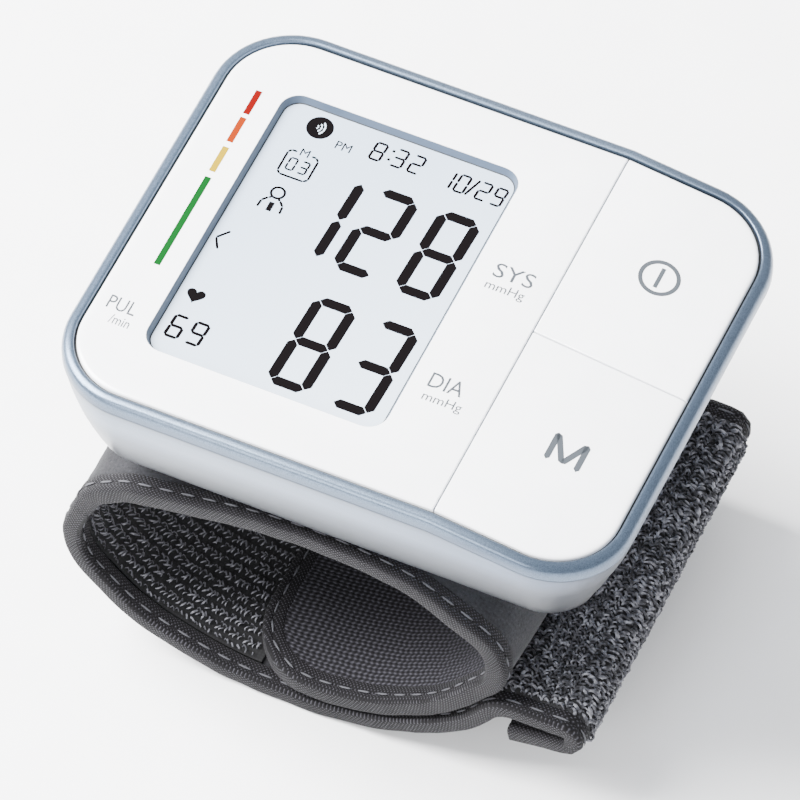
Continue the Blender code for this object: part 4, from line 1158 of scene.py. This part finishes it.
def folded_tape(start, end, half_width, corner, low, high, seed=0.0):
    """A tape folded over the border of a strip; a square end has no tape across it."""
    middle, half = (low + high) / 2, (high - low) / 2
    tape = band(start if corner else start - 8, end + 8, half_width, corner, middle)
    begin_edit(tape)
    bpy.ops.mesh.select_all(action="SELECT")
    bpy.ops.mesh.extrude_region_move(TRANSFORM_OT_translate={"value": (0, 0, (half - 0.62) * MM)})
    for inset, rise in TAPE_STEPS:
        bpy.ops.mesh.inset(thickness=inset * MM, use_even_offset=True)
        bpy.ops.transform.translate(value=(0, 0, rise * MM))
    bpy.ops.mesh.delete(type="FACE")
    pick(tape, "faces", lambda f: f.calc_area() > 1e-3)
    bpy.ops.mesh.delete(type="ONLY_FACE")
    bpy.ops.mesh.select_all(action="SELECT")
    bpy.ops.mesh.duplicate()
    bpy.ops.transform.resize(value=(1, 1, -1), center_override=(0, 0, middle * MM))
    bpy.ops.mesh.select_all(action="SELECT")
    bpy.ops.mesh.remove_doubles(threshold=0.01 * MM)
    bpy.ops.mesh.bisect(plane_co=(end * MM, 0, 0), plane_no=(1, 0, 0), clear_outer=True)
    if not corner:
        bpy.ops.mesh.select_all(action="SELECT")
        bpy.ops.mesh.bisect(plane_co=(start * MM, 0, 0), plane_no=(-1, 0, 0), clear_outer=True)
    end_edit(outward=True)
    slice_into_cells(tape, "x", start, end, 1.3)
    slice_into_cells(tape, "y", -half_width, half_width, 1.5)
    for vert in tape.data.vertices:
        spot = Vector((vert.co.x, vert.co.y, seed)) / (3.5 * MM)
        vert.co.z += noise.noise(spot) * 0.16 * MM
        vert.co.y += noise.noise(spot + Vector((7, 3, 0))) * 0.14 * MM
    apply_modifier(tape, "SOLIDIFY", thickness=0.45 * MM, offset=-1, use_even_offset=True)
    return tape


cuff_tape = folded_tape(0, CUFF_LENGTH, CUFF_HALF, FLAP_CORNER, PAD_LOW - 0.1, PAD_HIGH + 0.1)
wind(cuff_tape, CUFF_LINE)
dress(cuff_tape, "cuff_binding_tape", twill, stands_for=("cuff_binding",), smooth_angle=60)

# %% [markdown]
# The strap: a plain web with tape along both edges and round its tail, the hook field on its inner
# face, and the pile patch where the tail lies on top.

# %% Strap
STRAP_TAPE = (-1.45, 1.45)
web = band(0, STRAP_LENGTH - 0.5, CUFF_HALF - 0.8, 0, -0.75)
slice_into_cells(web, "x", 0, STRAP_LENGTH, 1.0)
slice_into_cells(web, "y", -CUFF_HALF, CUFF_HALF, 2.5)
ripple(web, 0.15, 8)
begin_edit(web)
bpy.ops.mesh.select_all(action="SELECT")
bpy.ops.mesh.extrude_region_move(TRANSFORM_OT_translate={"value": (0, 0, 1.6 * MM)})
end_edit(outward=True)
wind(web, STRAP_LINE)
dress(web, "strap_web_cloth", suede, "strap", ("strap_web",), 60)

strap_tape = folded_tape(0.3, STRAP_LENGTH, CUFF_HALF, 0, *STRAP_TAPE, seed=5.0)
wind(strap_tape, STRAP_LINE)
dress(strap_tape, "strap_binding_tape", twill, "strap",
      ("strap_binding_front", "strap_binding_back"), 60)


def rows_of(template, spots, name, finish, body, line, stands_for=()):
    """Copies a small shape to many spots (along, across, height, turn, tilt, size), and winds them."""
    copies = []
    for along, across, height, turn, tilt, size in spots:
        copy = template.copy()
        copy.data = template.data.copy()
        bpy.context.scene.collection.objects.link(copy)
        stand = Matrix.Rotation(turn, 4, "Z") @ Matrix.Rotation(tilt, 4, "X") @ Matrix.Scale(size, 4)
        copy.data.transform(Matrix.Translation((along * MM, across * MM, height * MM)) @ stand)
        copies.append(copy)
    bpy.ops.object.select_all(action="DESELECT")
    for copy in copies:
        copy.select_set(True)
    bpy.context.view_layer.objects.active = copies[0]
    bpy.ops.object.join()
    joined = bpy.context.object
    wind(joined, line)
    bpy.data.objects.remove(template, do_unlink=True)
    return dress(joined, name, finish, body, stands_for, 70)


# %% [markdown]
# Stitches are small lozenges of thread, one every 3.4 mm, laid in the tape's groove. The sewing line
# runs parallel to the border: straight, round the flap's corners, and straight again.

# %% Stitches
def sewing_line(start, end, half_width, corner, inset):
    """Evenly spaced (along, across, direction) on a line inside a strip's border."""
    inner, bend = half_width - inset, max(corner - inset, 0.01)
    points = [Vector((end, -inner)), Vector((start + corner, -inner))]
    points += [Vector((start + corner - bend * math.sin(a), -(half_width - corner) - bend * math.cos(a)))
               for a in [math.pi / 2 * i / 8 for i in range(1, 9)]]
    points += [Vector((p.x, -p.y)) for p in reversed(points)]
    spots, carry = [], 1.7
    for a, b in zip(points, points[1:]):
        length = (b - a).length
        while carry < length:
            spot = a + (b - a) * carry / length
            spots.append((spot.x, spot.y, math.atan2(b.y - a.y, b.x - a.x)))
            carry += 3.4
        carry -= length
    return spots


def stitch():
    """One stitch, a lozenge 2.4 mm long."""
    bpy.ops.object.select_all(action="DESELECT")
    bpy.ops.mesh.primitive_uv_sphere_add(segments=8, ring_count=5, radius=1)
    lozenge = bpy.context.object
    lozenge.scale = (1.2 * MM, 0.17 * MM, 0.13 * MM)
    bpy.ops.object.transform_apply(location=True, rotation=True, scale=True)
    return lozenge


line = sewing_line(0, CUFF_LENGTH, CUFF_HALF, FLAP_CORNER, 1.4)
spots = [(s, y, PAD_HIGH + 0.1, turn, 0, 1) for s, y, turn in line]
spots += [(s, y, PAD_LOW - 0.1, turn, 0, 1) for s, y, turn in line]
rows_of(stitch(), spots, "cuff_stitches", thread, "housing", CUFF_LINE)
line = [(s, side * (CUFF_HALF - 1.4)) for side in (-1, 1) for s in
        [5 + 3.4 * i for i in range(int((STRAP_LENGTH - 7) / 3.4))]]
spots = [(s, y, height, 0, 0, 1) for s, y in line for height in (-1.42, 1.42)]
rows_of(stitch(), spots, "strap_stitches", thread, "strap", STRAP_LINE)

# %% [markdown]
# The hook tape is a dark ground with thousands of bent nylon hooks in slanting rows. Here each hook
# is a bent five-sided bristle of a dozen faces. The pile is loops: a half ring each, thrown at
# chance angles from a fixed seed.

# %% Hooks and pile
chance = random.Random(11)


def bristle():
    """One bent hook, standing 0.8 mm high."""
    bpy.ops.object.select_all(action="DESELECT")
    bpy.ops.mesh.primitive_cone_add(vertices=4, radius1=0.12 * MM, radius2=0.09 * MM, depth=0.5 * MM,
                                    location=(0, 0, -0.25 * MM), end_fill_type="NGON")
    hook = bpy.context.object
    bpy.ops.object.transform_apply(location=True, rotation=True, scale=True)
    begin_edit(hook)
    pick(hook, "faces", lambda f: f.normal.z < -0.9)
    bpy.ops.mesh.extrude_region_move(TRANSFORM_OT_translate={"value": (0.3 * MM, 0, -0.15 * MM)})
    bpy.ops.mesh.extrude_region_move(TRANSFORM_OT_translate={"value": (0.42 * MM, 0, 0)})
    end_edit(outward=True)
    return hook


def loop_of_pile():
    """One loop, a ring 1.1 mm across whose lower part sinks into the ground."""
    bpy.ops.object.select_all(action="DESELECT")
    bpy.ops.mesh.primitive_torus_add(major_segments=7, minor_segments=4,
                                     major_radius=0.4 * MM, minor_radius=0.17 * MM,
                                     rotation=(math.pi / 2, 0, 0))
    ring_piece = bpy.context.object
    bpy.ops.object.transform_apply(location=True, rotation=True, scale=True)
    return ring_piece


def strap_distance(x, last=False):
    """Distance along the strap of the first or last pass of an x."""
    passes = [i for i, (a, b) in enumerate(zip(STRAP_LINE, STRAP_LINE[1:]))
              if (a[0].x - x) * (b[0].x - x) <= 0]
    return passes[-1 if last else 0] * 0.5


HOOK_START, HOOK_END = 6.0, strap_distance(-12.0)
ground = band(HOOK_START, HOOK_END, 27.0, 0, -0.95)
slice_into_cells(ground, "x", HOOK_START, HOOK_END, 1.0)
slice_into_cells(ground, "y", -27.0, 27.0, 3.0)
apply_modifier(ground, "SOLIDIFY", thickness=0.35 * MM, offset=0)
wind(ground, STRAP_LINE)
dress(ground, "hook_tape_ground", hooks, "strap", ("hook_field",), 60)
spots = []
for row in range(int((HOOK_END - HOOK_START - 1) / 0.8)):
    for column in range(54):
        side = 1 if column % 2 else -1
        spots.append((HOOK_START + 0.7 + row * 0.8 + 0.2 * side + chance.uniform(-0.2, 0.2),
                      -26.2 + column * 0.98 + chance.uniform(-0.2, 0.2), -1.1,
                      side * 0.95 + chance.uniform(-0.5, 0.5), chance.uniform(-0.4, 0.4),
                      chance.uniform(0.7, 1.15)))
rows_of(bristle(), spots, "nylon_hooks", hook_thread, "strap", STRAP_LINE)

PILE_START, PILE_END = strap_distance(25.6), STRAP_LENGTH - 7.6
pile_ground = band(PILE_START, PILE_END, 27.6, 0, -1.2)
slice_into_cells(pile_ground, "x", PILE_START, PILE_END, 0.8)
slice_into_cells(pile_ground, "y", -27.6, 27.6, 3.0)
apply_modifier(pile_ground, "SOLIDIFY", thickness=0.5 * MM, offset=0)
wind(pile_ground, STRAP_LINE)
dress(pile_ground, "pile_tape_ground", tape_grey, "strap", ("pile_patch",), 60)
spots = []
for row in range(int((PILE_END - PILE_START - 0.4) / 0.62)):
    for column in range(78):
        spots.append((PILE_START + 0.3 + row * 0.62 + chance.uniform(-0.12, 0.12),
                      -27.2 + column * 0.7 + (row % 2) * 0.35 + chance.uniform(-0.12, 0.12), -1.55,
                      (0.75 if row % 2 else -0.75) + chance.uniform(-0.5, 0.5), chance.uniform(-0.5, 0.5),
                      chance.uniform(0.75, 1.25)))
rows_of(loop_of_pile(), spots, "pile_loops", pile_thread, "strap", STRAP_LINE)
print("hooks and pile are in place")

# %% [markdown]
# The parts inside keep their CAD shapes: the saddle that carries the cuff, the boards, cells, pump,
# valve, tubes and screws. Each takes a finish of its own by the material it already has. Turned
# steel shows fine rings of tool marks, a board shows its weave under the green mask, and rubber and
# silicone are soft and slightly cloudy.

# %% Finishes for the parts inside
def turned_metal(name, colour, roughness):
    """Metal with fine tool marks along one axis and a slow change of polish."""
    finish, tree, shader = new_finish(name, colour, roughness, 1.0)
    place = add_node(tree, "ShaderNodeTexCoord")
    stretch = add_node(tree, "ShaderNodeMapping", links={"Vector": place.outputs["Object"]})
    stretch.inputs["Scale"].default_value = (0.12, 1.0, 1.0)
    marks = add_node(tree, "ShaderNodeTexNoise", links={"Vector": stretch.outputs["Vector"]},
                     Scale=1 / (0.08 * MM), Detail=3.0)
    polish = add_node(tree, "ShaderNodeMapRange", links={"Value": marks.outputs["Fac"]})
    polish.inputs["To Min"].default_value = roughness - 0.08
    polish.inputs["To Max"].default_value = roughness + 0.12
    tree.links.new(polish.outputs["Result"], shader.inputs["Roughness"])
    tree.links.new(ramp(tree, marks.outputs["Fac"], [(0.3, shade(colour, 0.85)), (0.7, colour)]),
                   shader.inputs["Base Color"])
    bump = add_node(tree, "ShaderNodeBump", links={"Height": marks.outputs["Fac"]}, Strength=0.2,
                    Distance=0.02 * MM)
    tree.links.new(bump.outputs["Normal"], shader.inputs["Normal"])
    return finish


def circuit_board(name):
    """Green mask over glass cloth: the weave is a faint checker of 0.6 mm threads."""
    finish, tree, shader = new_finish(name, "0f4a2c", 0.35, Coat_Weight=0.4, Coat_Roughness=0.2)
    place = add_node(tree, "ShaderNodeTexCoord")
    warp = add_node(tree, "ShaderNodeTexWave", {"bands_direction": "X"}, {"Vector": place.outputs["Object"]},
                    Scale=1 / (1.9 * MM), Distortion=0.3)
    weft = add_node(tree, "ShaderNodeTexWave", {"bands_direction": "Y"}, {"Vector": place.outputs["Object"]},
                    Scale=1 / (1.9 * MM), Distortion=0.3)
    woven = add_node(tree, "ShaderNodeMath", {"operation": "MULTIPLY"},
                     {0: warp.outputs["Fac"], 1: weft.outputs["Fac"]})
    tree.links.new(ramp(tree, woven.outputs["Value"], [(0.1, "0b3d24"), (0.8, "185c38")]),
                   shader.inputs["Base Color"])
    bump = add_node(tree, "ShaderNodeBump", links={"Height": woven.outputs["Value"]}, Strength=0.15,
                    Distance=0.03 * MM)
    tree.links.new(bump.outputs["Normal"], shader.inputs["Normal"])
    return finish


inner_finishes = {
    "grey_plastic": moulded_plastic("grey_satin_abs", "7d838b", 0.42, grit=0.2),
    "black_plastic": black_abs,
    "circuit_board": circuit_board("fibreglass_board_green_mask"),
    "steel": turned_metal("zinc_plated_steel", "aeb2b7", 0.32),
    "nickel": turned_metal("nickel_plated_spring_steel", "c2bdb0", 0.24),
    "cell_jacket": moulded_plastic("printed_cell_jacket_film", "27303c", 0.28, coat=0.3),
    "silicone": moulded_plastic("milky_silicone_rubber", "c9ccce", 0.5, grit=0.1),
    "bladder_rubber": moulded_plastic("black_tpu_bladder_film", "17181b", 0.38, grain_mm=2.5, grit=0.3),
    "lcd": crystal,
}
dressed = 0
for name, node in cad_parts.items():
    if node.hide_render:
        continue
    for material_slot in node.material_slots:
        wanted = inner_finishes.get(material_slot.material.name.split(".")[0])
        if wanted:
            material_slot.material = wanted
            dressed += 1
        else:
            print("no finish for", name, material_slot.material.name)
print(dressed, "parts inside have a finish")
